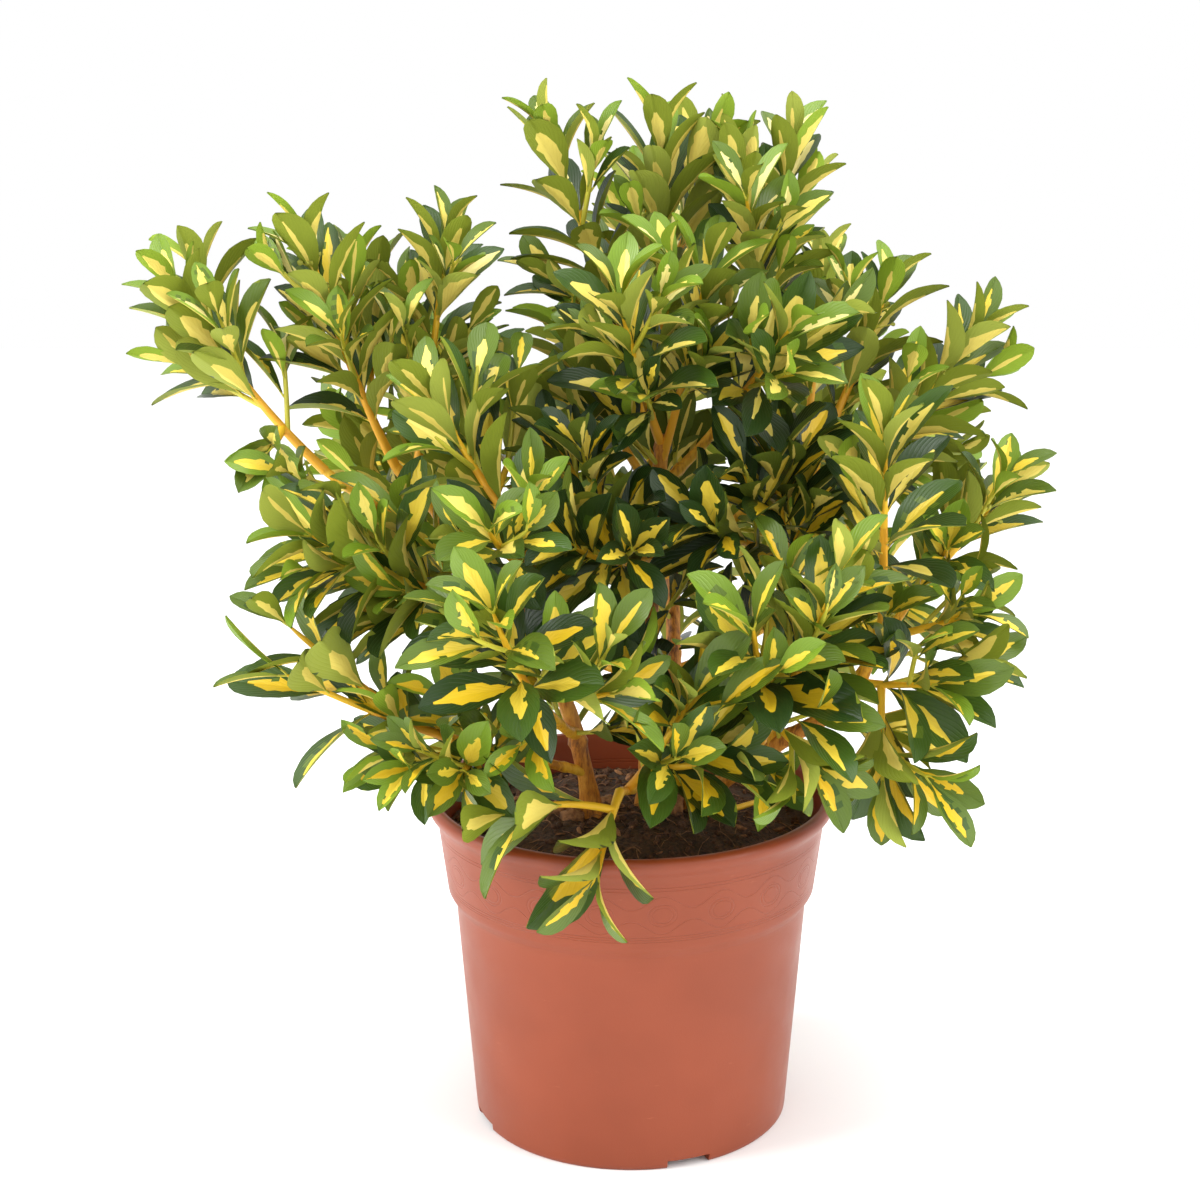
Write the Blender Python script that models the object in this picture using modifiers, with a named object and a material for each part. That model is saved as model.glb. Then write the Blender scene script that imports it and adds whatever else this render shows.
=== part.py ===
"""Potted Japanese spindle, a variegated evergreen shrub in a 24 cm nursery pot.

Run with: blender --background --python part.py
Units are metres, +Z is up, and the origin is on the pot's axis at the ground.
The front of the plant, as it is shown for sale, faces -Y.

Every shoot follows one rule: it leaves its limb, bends towards its tip, and
carries leaves in opposite pairs, each pair a quarter turn on from the last.
"""

import math
import random
from typing import NamedTuple

import bmesh
import bpy
from mathutils import Matrix, Quaternion, Vector
from mathutils.bvhtree import BVHTree

# Clearance between pieces that touch
GAP = 0.0003

# Pot: outer sizes
LIP_RADIUS = 0.1200
LIP_INNER_RADIUS = 0.1126
POT_HEIGHT = 0.1985
LIP_DEPTH = 0.0145
COLLAR_TOP_RADIUS = 0.1138
COLLAR_FOOT_RADIUS = 0.1085
COLLAR_FOOT_HEIGHT = 0.1415
STEP_DEPTH = 0.0060
BODY_TOP_RADIUS = 0.1040
FOOT_RADIUS = 0.0935
WALL = 0.0022
BASE_THICKNESS = 0.0030
FOOT_CHAMFER = 0.0015
POT_SEGMENTS = 36

# Drain slots at the foot: four, a quarter turn apart
SLOT_COUNT = 4
SLOT_FIRST_AZIMUTH = math.radians(-69.0)
SLOT_WIDTH = 0.026
SLOT_HEIGHT = 0.0050
SLOT_DEPTH = 0.012

# Soil: its top lies a little under the lip and rises to the root crown
SOIL_EDGE_HEIGHT = 0.1760
SOIL_CROWN_HEIGHT = 0.1890
SOIL_CROWN_RADIUS = 0.052
SOIL_SEGMENTS = 24
SOIL_RINGS = 4
SOIL_ROUGHNESS = 0.0016

# Limbs
LIMB_POINTS = 8
FLARE_HEIGHT = 0.030
FLARE_GAIN = 1.7
NODE_SPACING = 0.034
NODE_SWELL = 0.10
NODE_WIDTH = 0.12
FOOT_RISE = 0.4
TRUNK_SIDES = 8
BOUGH_SIDES = 6

# Twigs and leaves of the foliage masses
STEM_RADIUS = 0.0024
TIP_RADIUS = 0.0010
SHOOT_POINTS = 4
PAIR_PITCH = 0.0225
LEAF_WIDTH_RATIO = 0.52
LEAF_THICKNESS = 0.0013
LEAF_WIDEST = 0.52
LEAF_FOLD = 0.20
LEAF_CURL = 0.16
OPEN_AT_TIP = math.radians(24.0)
OPEN_WHEN_OLD = math.radians(57.0)
PAIRS_TO_OPEN = 4.0
LIGHT_SEEKING = 0.35
GROWTH_AT_TIP = 0.62
GROWTH_PER_PAIR = 0.19
LENGTH_RANGE = (0.88, 1.10)
TURN_SWING = 0.25
OPENING_SWING = 0.14
AGE_DROOP = 0.15
SIDE_TWIG_LENGTH = 0.058
SIDE_TWIG_ANGLE = math.radians(42.0)
SIDE_TWIG_RISE = 0.25
SIDE_TWIG_RANGE = (0.85, 1.10)
SIDE_TWIG_FORK = (0.40, 0.58)
LEAF_CLEARANCE = 0.0006
BLADE_START = 0.22
LEADER_BARE = 0.24
SECOND_BARE = 0.22
SIDE_BARE = 0.30
SECOND_GIRTH = 0.85
SIDE_GIRTH = 0.72
FORKS_TRIED = (0.30, 0.20, 0.42)
TWIG_TRIES = 5
SEAT_TRIES = 12
SEAT_STEP = 0.02
TURNS_TRIED = (0.0, 16.0, -16.0, 32.0, -32.0)
SEED = 41

WOOD = ("stem_bark", (0.42, 0.22, 0.07), 0.75)
YOUNG_WOOD = ("bough_bark", (0.55, 0.33, 0.08), 0.65)
CLAY_PLASTIC = ("terracotta_plastic", (0.43, 0.125, 0.07), 0.48)
PEAT = ("potting_soil", (0.035, 0.018, 0.010), 0.95)
FOLIAGE = ("variegated_leaf", (0.13, 0.20, 0.03), 0.45)


class Limb(NamedTuple):
    """One tapering limb, from where it starts to its tip."""

    name: str
    host: str
    along: float
    start: tuple
    bend: tuple
    tip: tuple
    radius: tuple


class Mass(NamedTuple):
    """One mass of foliage: the limb that carries it and the tips it reaches."""

    name: str
    limb: str
    along: float
    tip: tuple
    second: tuple
    leaf: float
    sag: float
    hang: float


# Trunks rise from the soil; a trunk's start is its place on the ground
TRUNKS = (
    Limb(
        "trunk_centre", "", 0.0,
        (0.010, 0.005), (0.008, 0.002, 0.300), (0.018, 0.000, 0.410), (0.0056, 0.0041),
    ),
    Limb(
        "trunk_left", "", 0.0,
        (-0.024, -0.012), (-0.030, -0.024, 0.285), (-0.098, -0.012, 0.355), (0.0054, 0.0034),
    ),
    Limb(
        "trunk_right", "", 0.0,
        (0.036, -0.002), (0.072, -0.016, 0.228), (0.124, -0.038, 0.262), (0.0056, 0.0042),
    ),
    Limb(
        "trunk_back", "", 0.0,
        (0.022, 0.040), (0.030, 0.066, 0.270), (0.022, 0.082, 0.345), (0.0054, 0.0036),
    ),
)

# Boughs: the host limb, how far along it they leave, the way they bend and their tip
BOUGHS = (
    Limb(
        "bough_left_high", "trunk_left", 1.0,
        (), (-0.118, 0.000, 0.372), (-0.134, 0.002, 0.392), (0.0033, 0.0027),
    ),
    Limb(
        "bough_left_far", "trunk_left", 0.86,
        (), (-0.130, -0.022, 0.362), (-0.172, -0.018, 0.394), (0.0031, 0.0025),
    ),
    Limb(
        "bough_left_mid", "trunk_left", 0.62,
        (), (-0.050, -0.045, 0.335), (-0.062, -0.066, 0.372), (0.0030, 0.0024),
    ),
    Limb(
        "bough_front_left", "trunk_left", 0.36,
        (), (-0.036, -0.048, 0.248), (-0.046, -0.092, 0.276), (0.0032, 0.0025),
    ),
    Limb(
        "bough_low_left", "trunk_left", 0.24,
        (), (-0.048, -0.034, 0.226), (-0.088, -0.064, 0.247), (0.0029, 0.0023),
    ),
    Limb(
        "bough_front_low", "trunk_centre", 0.10,
        (), (0.000, -0.046, 0.214), (-0.006, -0.082, 0.226), (0.0028, 0.0022),
    ),
    Limb(
        "bough_crest", "trunk_centre", 0.78,
        (), (0.012, 0.036, 0.395), (0.016, 0.046, 0.456), (0.0034, 0.0026),
    ),
    Limb(
        "bough_right_high", "trunk_centre", 0.88,
        (), (0.048, 0.018, 0.405), (0.070, 0.022, 0.440), (0.0032, 0.0025),
    ),
    Limb(
        "bough_shoulder", "trunk_right", 0.62,
        (), (0.092, 0.004, 0.320), (0.108, 0.012, 0.400), (0.0034, 0.0025),
    ),
    Limb(
        "bough_right_plume", "trunk_right", 1.0,
        (), (0.134, -0.044, 0.286), (0.140, -0.054, 0.316), (0.0040, 0.0031),
    ),
    Limb(
        "bough_right_out", "trunk_right", 0.90,
        (), (0.142, -0.016, 0.288), (0.166, -0.008, 0.326), (0.0031, 0.0024),
    ),
    Limb(
        "bough_front_right", "trunk_right", 0.44,
        (), (0.074, -0.052, 0.244), (0.080, -0.088, 0.276), (0.0031, 0.0024),
    ),
    Limb(
        "bough_back_left", "trunk_back", 0.80,
        (), (-0.030, 0.090, 0.330), (-0.086, 0.098, 0.352), (0.0032, 0.0025),
    ),
    Limb(
        "bough_back_mid", "trunk_back", 1.0,
        (), (0.014, 0.100, 0.372), (0.006, 0.124, 0.392), (0.0035, 0.0026),
    ),
    Limb(
        "bough_back_right", "trunk_back", 0.86,
        (), (0.062, 0.088, 0.342), (0.104, 0.090, 0.368), (0.0032, 0.0025),
    ),
    Limb(
        "bough_low_back_left", "trunk_back", 0.42,
        (), (-0.026, 0.078, 0.256), (-0.078, 0.108, 0.264), (0.0029, 0.0023),
    ),
    Limb(
        "bough_low_back_right", "trunk_back", 0.48,
        (), (0.062, 0.084, 0.262), (0.092, 0.122, 0.268), (0.0029, 0.0023),
    ),
)

NONE = ()
MASSES = (
    Mass(
        "leaves_left_far", "bough_left_far", 1.0,
        (-0.250, -0.010, 0.492), (-0.198, -0.040, 0.412), 0.056, 0.10, 0.08,
    ),
    Mass(
        "leaves_left_high", "bough_left_high", 1.0,
        (-0.179, -0.012, 0.522), (-0.150, 0.045, 0.491), 0.054, 0.12, 0.03,
    ),
    Mass("leaves_left_inner", "bough_left_high", 0.70, (-0.104, 0.010, 0.520), NONE, 0.052, 0.10, 0.05),
    Mass(
        "leaves_left_mid", "bough_left_mid", 1.0,
        (-0.103, -0.066, 0.438), (-0.065, -0.022, 0.412), 0.056, 0.08, 0.05,
    ),
    Mass("leaves_left_bright", "bough_left_mid", 0.72, (-0.074, -0.128, 0.385), NONE, 0.052, 0.14, 0.10),
    Mass("leaves_left_low", "trunk_left", 0.70, (-0.174, -0.074, 0.370), NONE, 0.060, 0.04, 0.25),
    Mass(
        "leaves_front_left", "bough_front_left", 1.0,
        (-0.070, -0.168, 0.352), (-0.010, -0.138, 0.300), 0.056, 0.12, 0.20,
    ),
    Mass(
        "leaves_low_left", "bough_low_left", 1.0,
        (-0.188, -0.090, 0.296), (-0.186, -0.084, 0.322), 0.058, 0.04, 0.15,
    ),
    Mass(
        "leaves_left_hanging", "bough_low_left", 0.74,
        (-0.130, -0.094, 0.252), (-0.090, -0.116, 0.250), 0.056, 0.02, 0.40,
    ),
    Mass(
        "leaves_front_drooping", "bough_front_low", 1.0,
        (-0.018, -0.134, 0.196), (-0.066, -0.124, 0.228), 0.056, -0.14, 0.70,
    ),
    Mass(
        "leaves_front_low", "bough_front_low", 0.70,
        (0.031, -0.122, 0.290), (0.054, -0.114, 0.256), 0.058, 0.05, 0.30,
    ),
    Mass(
        "leaves_centre_left", "trunk_centre", 0.72,
        (-0.030, -0.088, 0.366), (-0.040, -0.036, 0.412), 0.056, 0.10, 0.15,
    ),
    Mass("leaves_centre_back", "trunk_centre", 0.86, (-0.034, 0.022, 0.462), NONE, 0.056, 0.12, 0.05),
    Mass("leaves_crest_left", "bough_crest", 0.72, (-0.046, 0.034, 0.577), NONE, 0.054, 0.08, 0.05),
    Mass(
        "leaves_crest", "bough_crest", 1.0,
        (0.018, 0.040, 0.572), (0.050, 0.070, 0.556), 0.060, 0.04, 0.05,
    ),
    Mass(
        "leaves_crest_right", "bough_right_high", 1.0,
        (0.091, 0.040, 0.566), (0.064, 0.000, 0.544), 0.056, 0.06, 0.05,
    ),
    Mass("leaves_centre_front", "trunk_centre", 0.98, (-0.006, -0.056, 0.496), NONE, 0.060, 0.10, 0.08),
    Mass("leaves_centre", "trunk_centre", 0.93, (0.042, -0.024, 0.508), NONE, 0.056, 0.10, 0.08),
    Mass("leaves_right_inner", "bough_right_high", 0.62, (0.086, -0.046, 0.478), NONE, 0.056, 0.02, 0.08),
    Mass("leaves_right_shoulder", "bough_shoulder", 1.0, (0.146, 0.030, 0.488), NONE, 0.052, 0.08, 0.05),
    Mass("leaves_right_far", "bough_shoulder", 0.74, (0.192, 0.006, 0.466), NONE, 0.056, 0.10, 0.06),
    Mass(
        "leaves_inner_right", "bough_shoulder", 0.50,
        (0.078, -0.036, 0.412), (0.040, -0.052, 0.372), 0.056, 0.06, 0.12,
    ),
    Mass("leaves_right_plume", "bough_right_plume", 1.0, (0.136, -0.080, 0.424), NONE, 0.058, 0.02, 0.10),
    Mass(
        "leaves_right_tip", "bough_right_out", 1.0,
        (0.209, 0.002, 0.374), (0.176, -0.040, 0.354), 0.054, 0.08, 0.08,
    ),
    Mass("leaves_right_out", "bough_right_out", 0.60, (0.190, -0.050, 0.320), NONE, 0.054, 0.04, 0.20),
    Mass(
        "leaves_right_hanging", "bough_right_plume", 0.30,
        (0.164, -0.090, 0.290), (0.138, -0.088, 0.238), 0.062, 0.02, 0.55,
    ),
    Mass(
        "leaves_front_right_high", "bough_front_right", 1.0,
        (0.108, -0.122, 0.358), NONE, 0.052, 0.10, 0.10,
    ),
    Mass(
        "leaves_front_right", "bough_front_right", 0.70,
        (0.064, -0.134, 0.334), (0.095, -0.118, 0.258), 0.058, 0.08, 0.35,
    ),
    Mass(
        "leaves_back_left_high", "bough_back_left", 1.0,
        (-0.122, 0.126, 0.432), (-0.104, 0.084, 0.438), 0.056, 0.10, 0.08,
    ),
    Mass("leaves_back_left_out", "bough_back_left", 0.72, (-0.170, 0.108, 0.392), NONE, 0.056, 0.08, 0.20),
    Mass(
        "leaves_back_left_low", "bough_low_back_left", 1.0,
        (-0.128, 0.172, 0.322), (-0.136, 0.104, 0.284), 0.058, 0.06, 0.35,
    ),
    Mass("leaves_back_high", "bough_back_mid", 1.0, (0.010, 0.134, 0.532), NONE, 0.056, 0.06, 0.05),
    Mass(
        "leaves_back_out", "bough_back_mid", 0.60,
        (-0.016, 0.212, 0.430), (0.040, 0.192, 0.398), 0.058, 0.12, 0.15,
    ),
    Mass("leaves_back_right_high", "bough_back_right", 1.0, (0.118, 0.132, 0.486), NONE, 0.056, 0.10, 0.08),
    Mass(
        "leaves_back_right_out", "bough_back_right", 0.68,
        (0.182, 0.098, 0.398), (0.120, 0.180, 0.404), 0.056, 0.08, 0.20,
    ),
    Mass(
        "leaves_back_right_low", "bough_low_back_right", 1.0,
        (0.118, 0.182, 0.318), (0.164, 0.086, 0.290), 0.058, 0.06, 0.35,
    ),
)


def clear_scene():
    """Remove every object, so that the script gives the same model each run."""
    for thing in list(bpy.data.objects):
        bpy.data.objects.remove(thing, do_unlink=True)


def new_collection(name):
    """Return a fresh collection of the given name, linked to the scene."""
    group = bpy.data.collections.new(name)
    bpy.context.scene.collection.children.link(group)
    return group


def new_material(finish):
    """Return the Principled material of a finish: name, colour and roughness."""
    name, colour, roughness = finish
    material = bpy.data.materials.get(name)
    if material:
        return material
    material = bpy.data.materials.new(name)
    material.use_nodes = True
    shader = material.node_tree.nodes["Principled BSDF"]
    shader.inputs["Base Color"].default_value = (*colour, 1.0)
    shader.inputs["Roughness"].default_value = roughness
    shader.inputs["Metallic"].default_value = 0.0
    return material


def new_object(name, mesh, group, finish):
    """Link a mesh object into a collection and give it its finish."""
    thing = bpy.data.objects.new(name, mesh)
    group.objects.link(thing)
    thing.data.materials.append(new_material(finish))
    return thing


def evaluated_mesh(thing):
    """Return a new mesh of the object as its modifiers leave it."""
    graph = bpy.context.evaluated_depsgraph_get()
    graph.update()
    return bpy.data.meshes.new_from_object(thing.evaluated_get(graph))


def turned(name, profile, segments, group, finish):
    """Turn a profile of (radius, height) points round the Z axis."""
    mesh = bpy.data.meshes.new(name)
    points = [(radius, 0.0, height) for radius, height in profile]
    edges = [(i, i + 1) for i in range(len(points) - 1)]
    mesh.from_pydata(points, edges, [])
    thing = new_object(name, mesh, group, finish)
    screw = thing.modifiers.new("turn", "SCREW")
    screw.steps = segments
    screw.render_steps = segments
    screw.use_merge_vertices = True
    screw.merge_threshold = 0.00001
    screw.use_smooth_shade = True
    return thing


def pot_profile():
    """Outline of the pot's wall: up the inside, over the lip, down the outside."""
    lip_foot = POT_HEIGHT - LIP_DEPTH
    lip_mid = (LIP_RADIUS + LIP_INNER_RADIUS) / 2
    body_top = COLLAR_FOOT_HEIGHT - STEP_DEPTH
    inside = [
        (0.0, BASE_THICKNESS),
        (FOOT_RADIUS - WALL, BASE_THICKNESS),
        (BODY_TOP_RADIUS - WALL, body_top),
        (COLLAR_FOOT_RADIUS - WALL, COLLAR_FOOT_HEIGHT + WALL / 2),
        (COLLAR_TOP_RADIUS - WALL, lip_foot),
        (LIP_INNER_RADIUS, POT_HEIGHT - 0.0015),
        (LIP_INNER_RADIUS + 0.0012, POT_HEIGHT),
    ]
    outside = [
        (lip_mid + 0.0015, POT_HEIGHT),
        (LIP_RADIUS - 0.0007, POT_HEIGHT - 0.0014),
        (LIP_RADIUS, POT_HEIGHT - 0.0035),
        (LIP_RADIUS - 0.0008, POT_HEIGHT - 0.0068),
        (COLLAR_TOP_RADIUS, lip_foot),
        (COLLAR_FOOT_RADIUS, COLLAR_FOOT_HEIGHT),
        (BODY_TOP_RADIUS, body_top),
        (FOOT_RADIUS, FOOT_CHAMFER),
        (FOOT_RADIUS - FOOT_CHAMFER, 0.0),
        (0.0, 0.0),
    ]
    return inside + outside


def slot_cutter(index, group):
    """A block that cuts one drain slot through the corner of wall and base."""
    azimuth = SLOT_FIRST_AZIMUTH + index * math.tau / SLOT_COUNT
    mesh = bpy.data.meshes.new("drain_slot")
    block = bmesh.new()
    bmesh.ops.create_cube(block, size=1.0)
    depth = 2.0 * SLOT_DEPTH
    bmesh.ops.scale(block, vec=(depth, SLOT_WIDTH, 2.0 * SLOT_HEIGHT), verts=block.verts)
    block.to_mesh(mesh)
    block.free()
    cutter = bpy.data.objects.new("drain_slot_%d" % (index + 1), mesh)
    group.objects.link(cutter)
    cutter.location = (FOOT_RADIUS * math.cos(azimuth), FOOT_RADIUS * math.sin(azimuth), 0.0)
    cutter.rotation_euler = (0.0, 0.0, azimuth)
    cutter.hide_render = True
    cutter.display_type = "WIRE"
    return cutter


def make_pot(parts, cutters):
    """Turn the pot and cut its drain slots."""
    pot = turned("pot", pot_profile(), POT_SEGMENTS, parts, CLAY_PLASTIC)
    for index in range(SLOT_COUNT):
        cut = pot.modifiers.new("slot_%d" % (index + 1), "BOOLEAN")
        cut.operation = "DIFFERENCE"
        cut.solver = "EXACT"
        cut.object = slot_cutter(index, cutters)
    return pot


def wall_inside_radius(height):
    """Radius of the pot's inner wall at a height above the base."""
    body_top = COLLAR_FOOT_HEIGHT - STEP_DEPTH
    if height <= body_top:
        share = (height - BASE_THICKNESS) / (body_top - BASE_THICKNESS)
        return FOOT_RADIUS - WALL + share * (BODY_TOP_RADIUS - FOOT_RADIUS)
    shelf = COLLAR_FOOT_HEIGHT + WALL / 2
    if height <= shelf:
        share = (height - body_top) / (shelf - body_top)
        return BODY_TOP_RADIUS - WALL + share * (COLLAR_FOOT_RADIUS - BODY_TOP_RADIUS)
    share = (height - shelf) / (POT_HEIGHT - LIP_DEPTH - shelf)
    return COLLAR_FOOT_RADIUS - WALL + share * (COLLAR_TOP_RADIUS - COLLAR_FOOT_RADIUS)


def soil_height(radius):
    """Height of the soil's smooth surface at a distance from the pot's axis."""
    reach = wall_inside_radius(SOIL_EDGE_HEIGHT)
    if radius <= SOIL_CROWN_RADIUS:
        return SOIL_CROWN_HEIGHT
    share = (radius - SOIL_CROWN_RADIUS) / (reach - SOIL_CROWN_RADIUS)
    fall = 0.5 - 0.5 * math.cos(math.pi * min(share, 1.0))
    return SOIL_CROWN_HEIGHT - fall * (SOIL_CROWN_HEIGHT - SOIL_EDGE_HEIGHT)


def make_soil(parts):
    """The root ball: a turned fill with a crumbly top, flat under the stems."""
    clear = 2.0 * GAP
    # A chord of the many-sided wall lies inside its circle by this factor
    shrink = math.cos(math.pi / POT_SEGMENTS)
    body_top = COLLAR_FOOT_HEIGHT - STEP_DEPTH
    shelf = COLLAR_FOOT_HEIGHT + WALL / 2
    heights = (SOIL_EDGE_HEIGHT, shelf, body_top, BASE_THICKNESS + clear)
    side = [(wall_inside_radius(height) * shrink - clear, height) for height in heights]
    edge = side[0][0]
    top = []
    for ring in range(SOIL_RINGS):
        radius = SOIL_CROWN_RADIUS + (edge - SOIL_CROWN_RADIUS) * ring / SOIL_RINGS
        top.append((radius, soil_height(radius)))
    profile = [(0.0, SOIL_CROWN_HEIGHT)] + top + side + [(0.0, side[-1][1])]
    soil = turned("soil", profile, SOIL_SEGMENTS, parts, PEAT)
    mesh = evaluated_mesh(soil)
    soil.modifiers.clear()
    soil.data = mesh
    crumbs = random.Random(SEED)
    for vertex in mesh.vertices:
        radius = math.hypot(vertex.co.x, vertex.co.y)
        on_top = vertex.co.z > SOIL_EDGE_HEIGHT + 0.0001 and radius > SOIL_CROWN_RADIUS * 1.05
        if on_top:
            vertex.co.z += crumbs.uniform(-SOIL_ROUGHNESS, SOIL_ROUGHNESS)
    return soil


def bent(start, bend, tip, count):
    """Points of the smooth arc from start to tip that is drawn towards bend."""
    points = []
    for i in range(count):
        t = i / (count - 1)
        points.append(start * (1 - t) ** 2 + bend * (2 * t * (1 - t)) + tip * t**2)
    return points


def point_along(points, share):
    """Point and direction at a share of the polyline's points."""
    place = share * (len(points) - 1)
    index = min(int(place), len(points) - 2)
    point = points[index].lerp(points[index + 1], place - index)
    return point, (points[index + 1] - points[index]).normalized()


def limb_radius(limb, share, distance, is_trunk):
    """Radius of a limb: an even taper, a flare at the ground and slight nodes."""
    base, end = limb.radius
    radius = base + (end - base) * share
    if is_trunk and distance < FLARE_HEIGHT:
        fade = 1.0 - distance / FLARE_HEIGHT
        return radius * (1.0 + (FLARE_GAIN - 1.0) * fade * fade)
    phase = (distance % NODE_SPACING) / NODE_SPACING
    return radius * (1.0 + NODE_SWELL * math.exp(-((phase - 0.5) / NODE_WIDTH) ** 2))


def tube_mesh(name, points, radii, sides):
    """Mesh of a tapering tube: a bevelled curve with filled caps, welded."""
    curve = bpy.data.curves.new(name, "CURVE")
    curve.dimensions = "3D"
    curve.use_fill_caps = True
    curve.twist_mode = "MINIMUM"
    spline = curve.splines.new("POLY")
    spline.points.add(len(points) - 1)
    for slot, point, radius in zip(spline.points, points, radii):
        slot.co = (*point, 1.0)
        slot.radius = radius
    outline = None
    if sides == 3:
        ring = bpy.data.curves.new(name + "_section", "CURVE")
        corners = ring.splines.new("POLY")
        corners.points.add(2)
        corners.use_cyclic_u = True
        for i, corner in enumerate(corners.points):
            corner.co = (math.cos(math.tau * i / 3), math.sin(math.tau * i / 3), 0.0, 1.0)
        outline = bpy.data.objects.new(name + "_section", ring)
        curve.bevel_mode = "OBJECT"
        curve.bevel_object = outline
    else:
        curve.bevel_depth = 1.0
        curve.bevel_resolution = sides // 2 - 2
    holder = bpy.data.objects.new(name, curve)
    bpy.context.scene.collection.objects.link(holder)
    mesh = evaluated_mesh(holder)
    bpy.data.objects.remove(holder, do_unlink=True)
    if outline:
        bpy.data.objects.remove(outline, do_unlink=True)
    shape = bmesh.new()
    shape.from_mesh(mesh)
    bmesh.ops.remove_doubles(shape, verts=shape.verts, dist=0.000001)
    bmesh.ops.recalc_face_normals(shape, faces=shape.faces)
    shape.to_mesh(mesh)
    shape.free()
    mesh.name = name
    return mesh


def tree_of(mesh):
    """Search tree of a mesh's triangles."""
    shape = bmesh.new()
    shape.from_mesh(mesh)
    tree = BVHTree.FromBMesh(shape)
    shape.free()
    return tree


def joined_tree(meshes):
    """Search tree of several meshes together."""
    shape = bmesh.new()
    for mesh in meshes:
        shape.from_mesh(mesh)
    tree = BVHTree.FromBMesh(shape)
    shape.free()
    return tree


def is_clear(point, tree, distance):
    """True if a point is outside the closed surface by at least a distance."""
    place, normal, _, apart = tree.find_nearest(point)
    return apart >= distance and (point - place).dot(normal) > 0.0


def seated(points, radius, host):
    """Start a shoot where its end face first lies clear of its host's surface."""
    step = GAP / 2
    path = list(points)
    total = sum((b - a).length for a, b in zip(path, path[1:]))
    travelled = 0.0
    while travelled < total / 2:
        ahead = (path[1] - path[0]).normalized()
        across = ahead.orthogonal().normalized()
        rim = [path[0]]
        for i in range(8):
            turn = Quaternion(ahead, math.tau * i / 8)
            rim.append(path[0] + turn @ across * radius)
        if all(is_clear(point, host, GAP) for point in rim):
            return path
        if (path[1] - path[0]).length <= step * 1.5:
            path.pop(0)
        else:
            path[0] = path[0] + ahead * step
        travelled += step
    return path


def touches(shape, trees):
    """True if a shape crosses any of the surfaces."""
    own = BVHTree.FromBMesh(shape)
    return any(own.overlap(tree) for tree in trees)


def mesh_touches(mesh, trees):
    """True if a mesh crosses any of the surfaces."""
    shape = bmesh.new()
    shape.from_mesh(mesh)
    crossed = touches(shape, trees)
    shape.free()
    return crossed


def limb_mesh(limb, points, is_trunk):
    """Round tapering tube of a limb along its path."""
    lengths = [0.0]
    for before, after in zip(points, points[1:]):
        lengths.append(lengths[-1] + (after - before).length)
    radii = [limb_radius(limb, d / lengths[-1], d, is_trunk) for d in lengths]
    return tube_mesh(limb.name, points, radii, TRUNK_SIDES if is_trunk else BOUGH_SIDES)


def make_limb(limb, paths, trees, parts):
    """Build one trunk or bough and remember its path and surface."""
    is_trunk = not limb.host
    if is_trunk:
        ground = SOIL_CROWN_HEIGHT + GAP
        start = Vector((*limb.start, ground))
    else:
        start, _ = point_along(paths[limb.host], limb.along)
    points = bent(start, Vector(limb.bend), Vector(limb.tip), LIMB_POINTS)
    if is_trunk:
        # The second point stands over the first, so that the cut is level
        lift = (points[1] - points[0]).length * FOOT_RISE
        points.insert(1, start + Vector((0.0, 0.0, lift)))
    else:
        points = seated(points, limb.radius[0], trees[limb.host])
    mesh = limb_mesh(limb, points, is_trunk)
    for _ in range(SEAT_TRIES):
        if not mesh_touches(mesh, list(trees.values())):
            break
        points[0] = points[0].lerp(points[1], SEAT_STEP)
        mesh = limb_mesh(limb, points, is_trunk)
    else:
        print("%s: touches a neighbour" % limb.name)
    thing = new_object(limb.name, mesh, parts, WOOD if is_trunk else YOUNG_WOOD)
    mesh.shade_smooth()
    paths[limb.name] = points
    trees[limb.name] = tree_of(mesh)
    return thing


def leaf_mesh(length, extra, root=0.0):
    """An eight-faced leaf along +Z whose top side faces +Y, folded at its rib."""
    shape = bmesh.new()
    bmesh.ops.create_uvsphere(shape, u_segments=4, v_segments=2, radius=1.0)
    half_width = length * LEAF_WIDTH_RATIO / 2 + extra
    half_thick = LEAF_THICKNESS / 2 + extra
    for vertex in shape.verts:
        side, rise, height = vertex.co
        if height > 0.5:
            vertex.co = (0.0, -LEAF_CURL * length, length + extra)
        elif height < -0.5:
            vertex.co = (0.0, 0.0, root)
        elif abs(side) > 0.5:
            vertex.co = (side * half_width, LEAF_FOLD * half_width, LEAF_WIDEST * length)
        else:
            vertex.co = (0.0, rise * half_thick, LEAF_WIDEST * length)
    bmesh.ops.recalc_face_normals(shape, faces=shape.faces)
    return shape


def leaf_matrix(root, ahead, top):
    """Place a leaf: +Z runs along the blade and +Y out of its top side."""
    across = top.cross(ahead).normalized()
    face = ahead.cross(across).normalized()
    frame = Matrix((across, face, ahead)).transposed().to_4x4()
    return Matrix.Translation(root) @ frame


def leaf_pose(axis, azimuth, opening, hang):
    """Direction and top side of a leaf that opens from its twig."""
    radial = Quaternion(axis, azimuth) @ axis.orthogonal().normalized()
    ahead = axis * math.cos(opening) + radial * math.sin(opening)
    ahead = (ahead + Vector((0.0, 0.0, -1.0)) * hang).normalized()
    top = axis * math.sin(opening) - radial * math.cos(opening)
    top = top + Vector((0.0, 0.0, 1.0)) * LIGHT_SEEKING
    top = top - ahead * top.dot(ahead)
    return ahead, top.normalized()


def leaf_growth(pair):
    """Size of a pair of leaves against a full one, counted from the tip."""
    return min(1.0, GROWTH_AT_TIP + GROWTH_PER_PAIR * pair)


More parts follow.
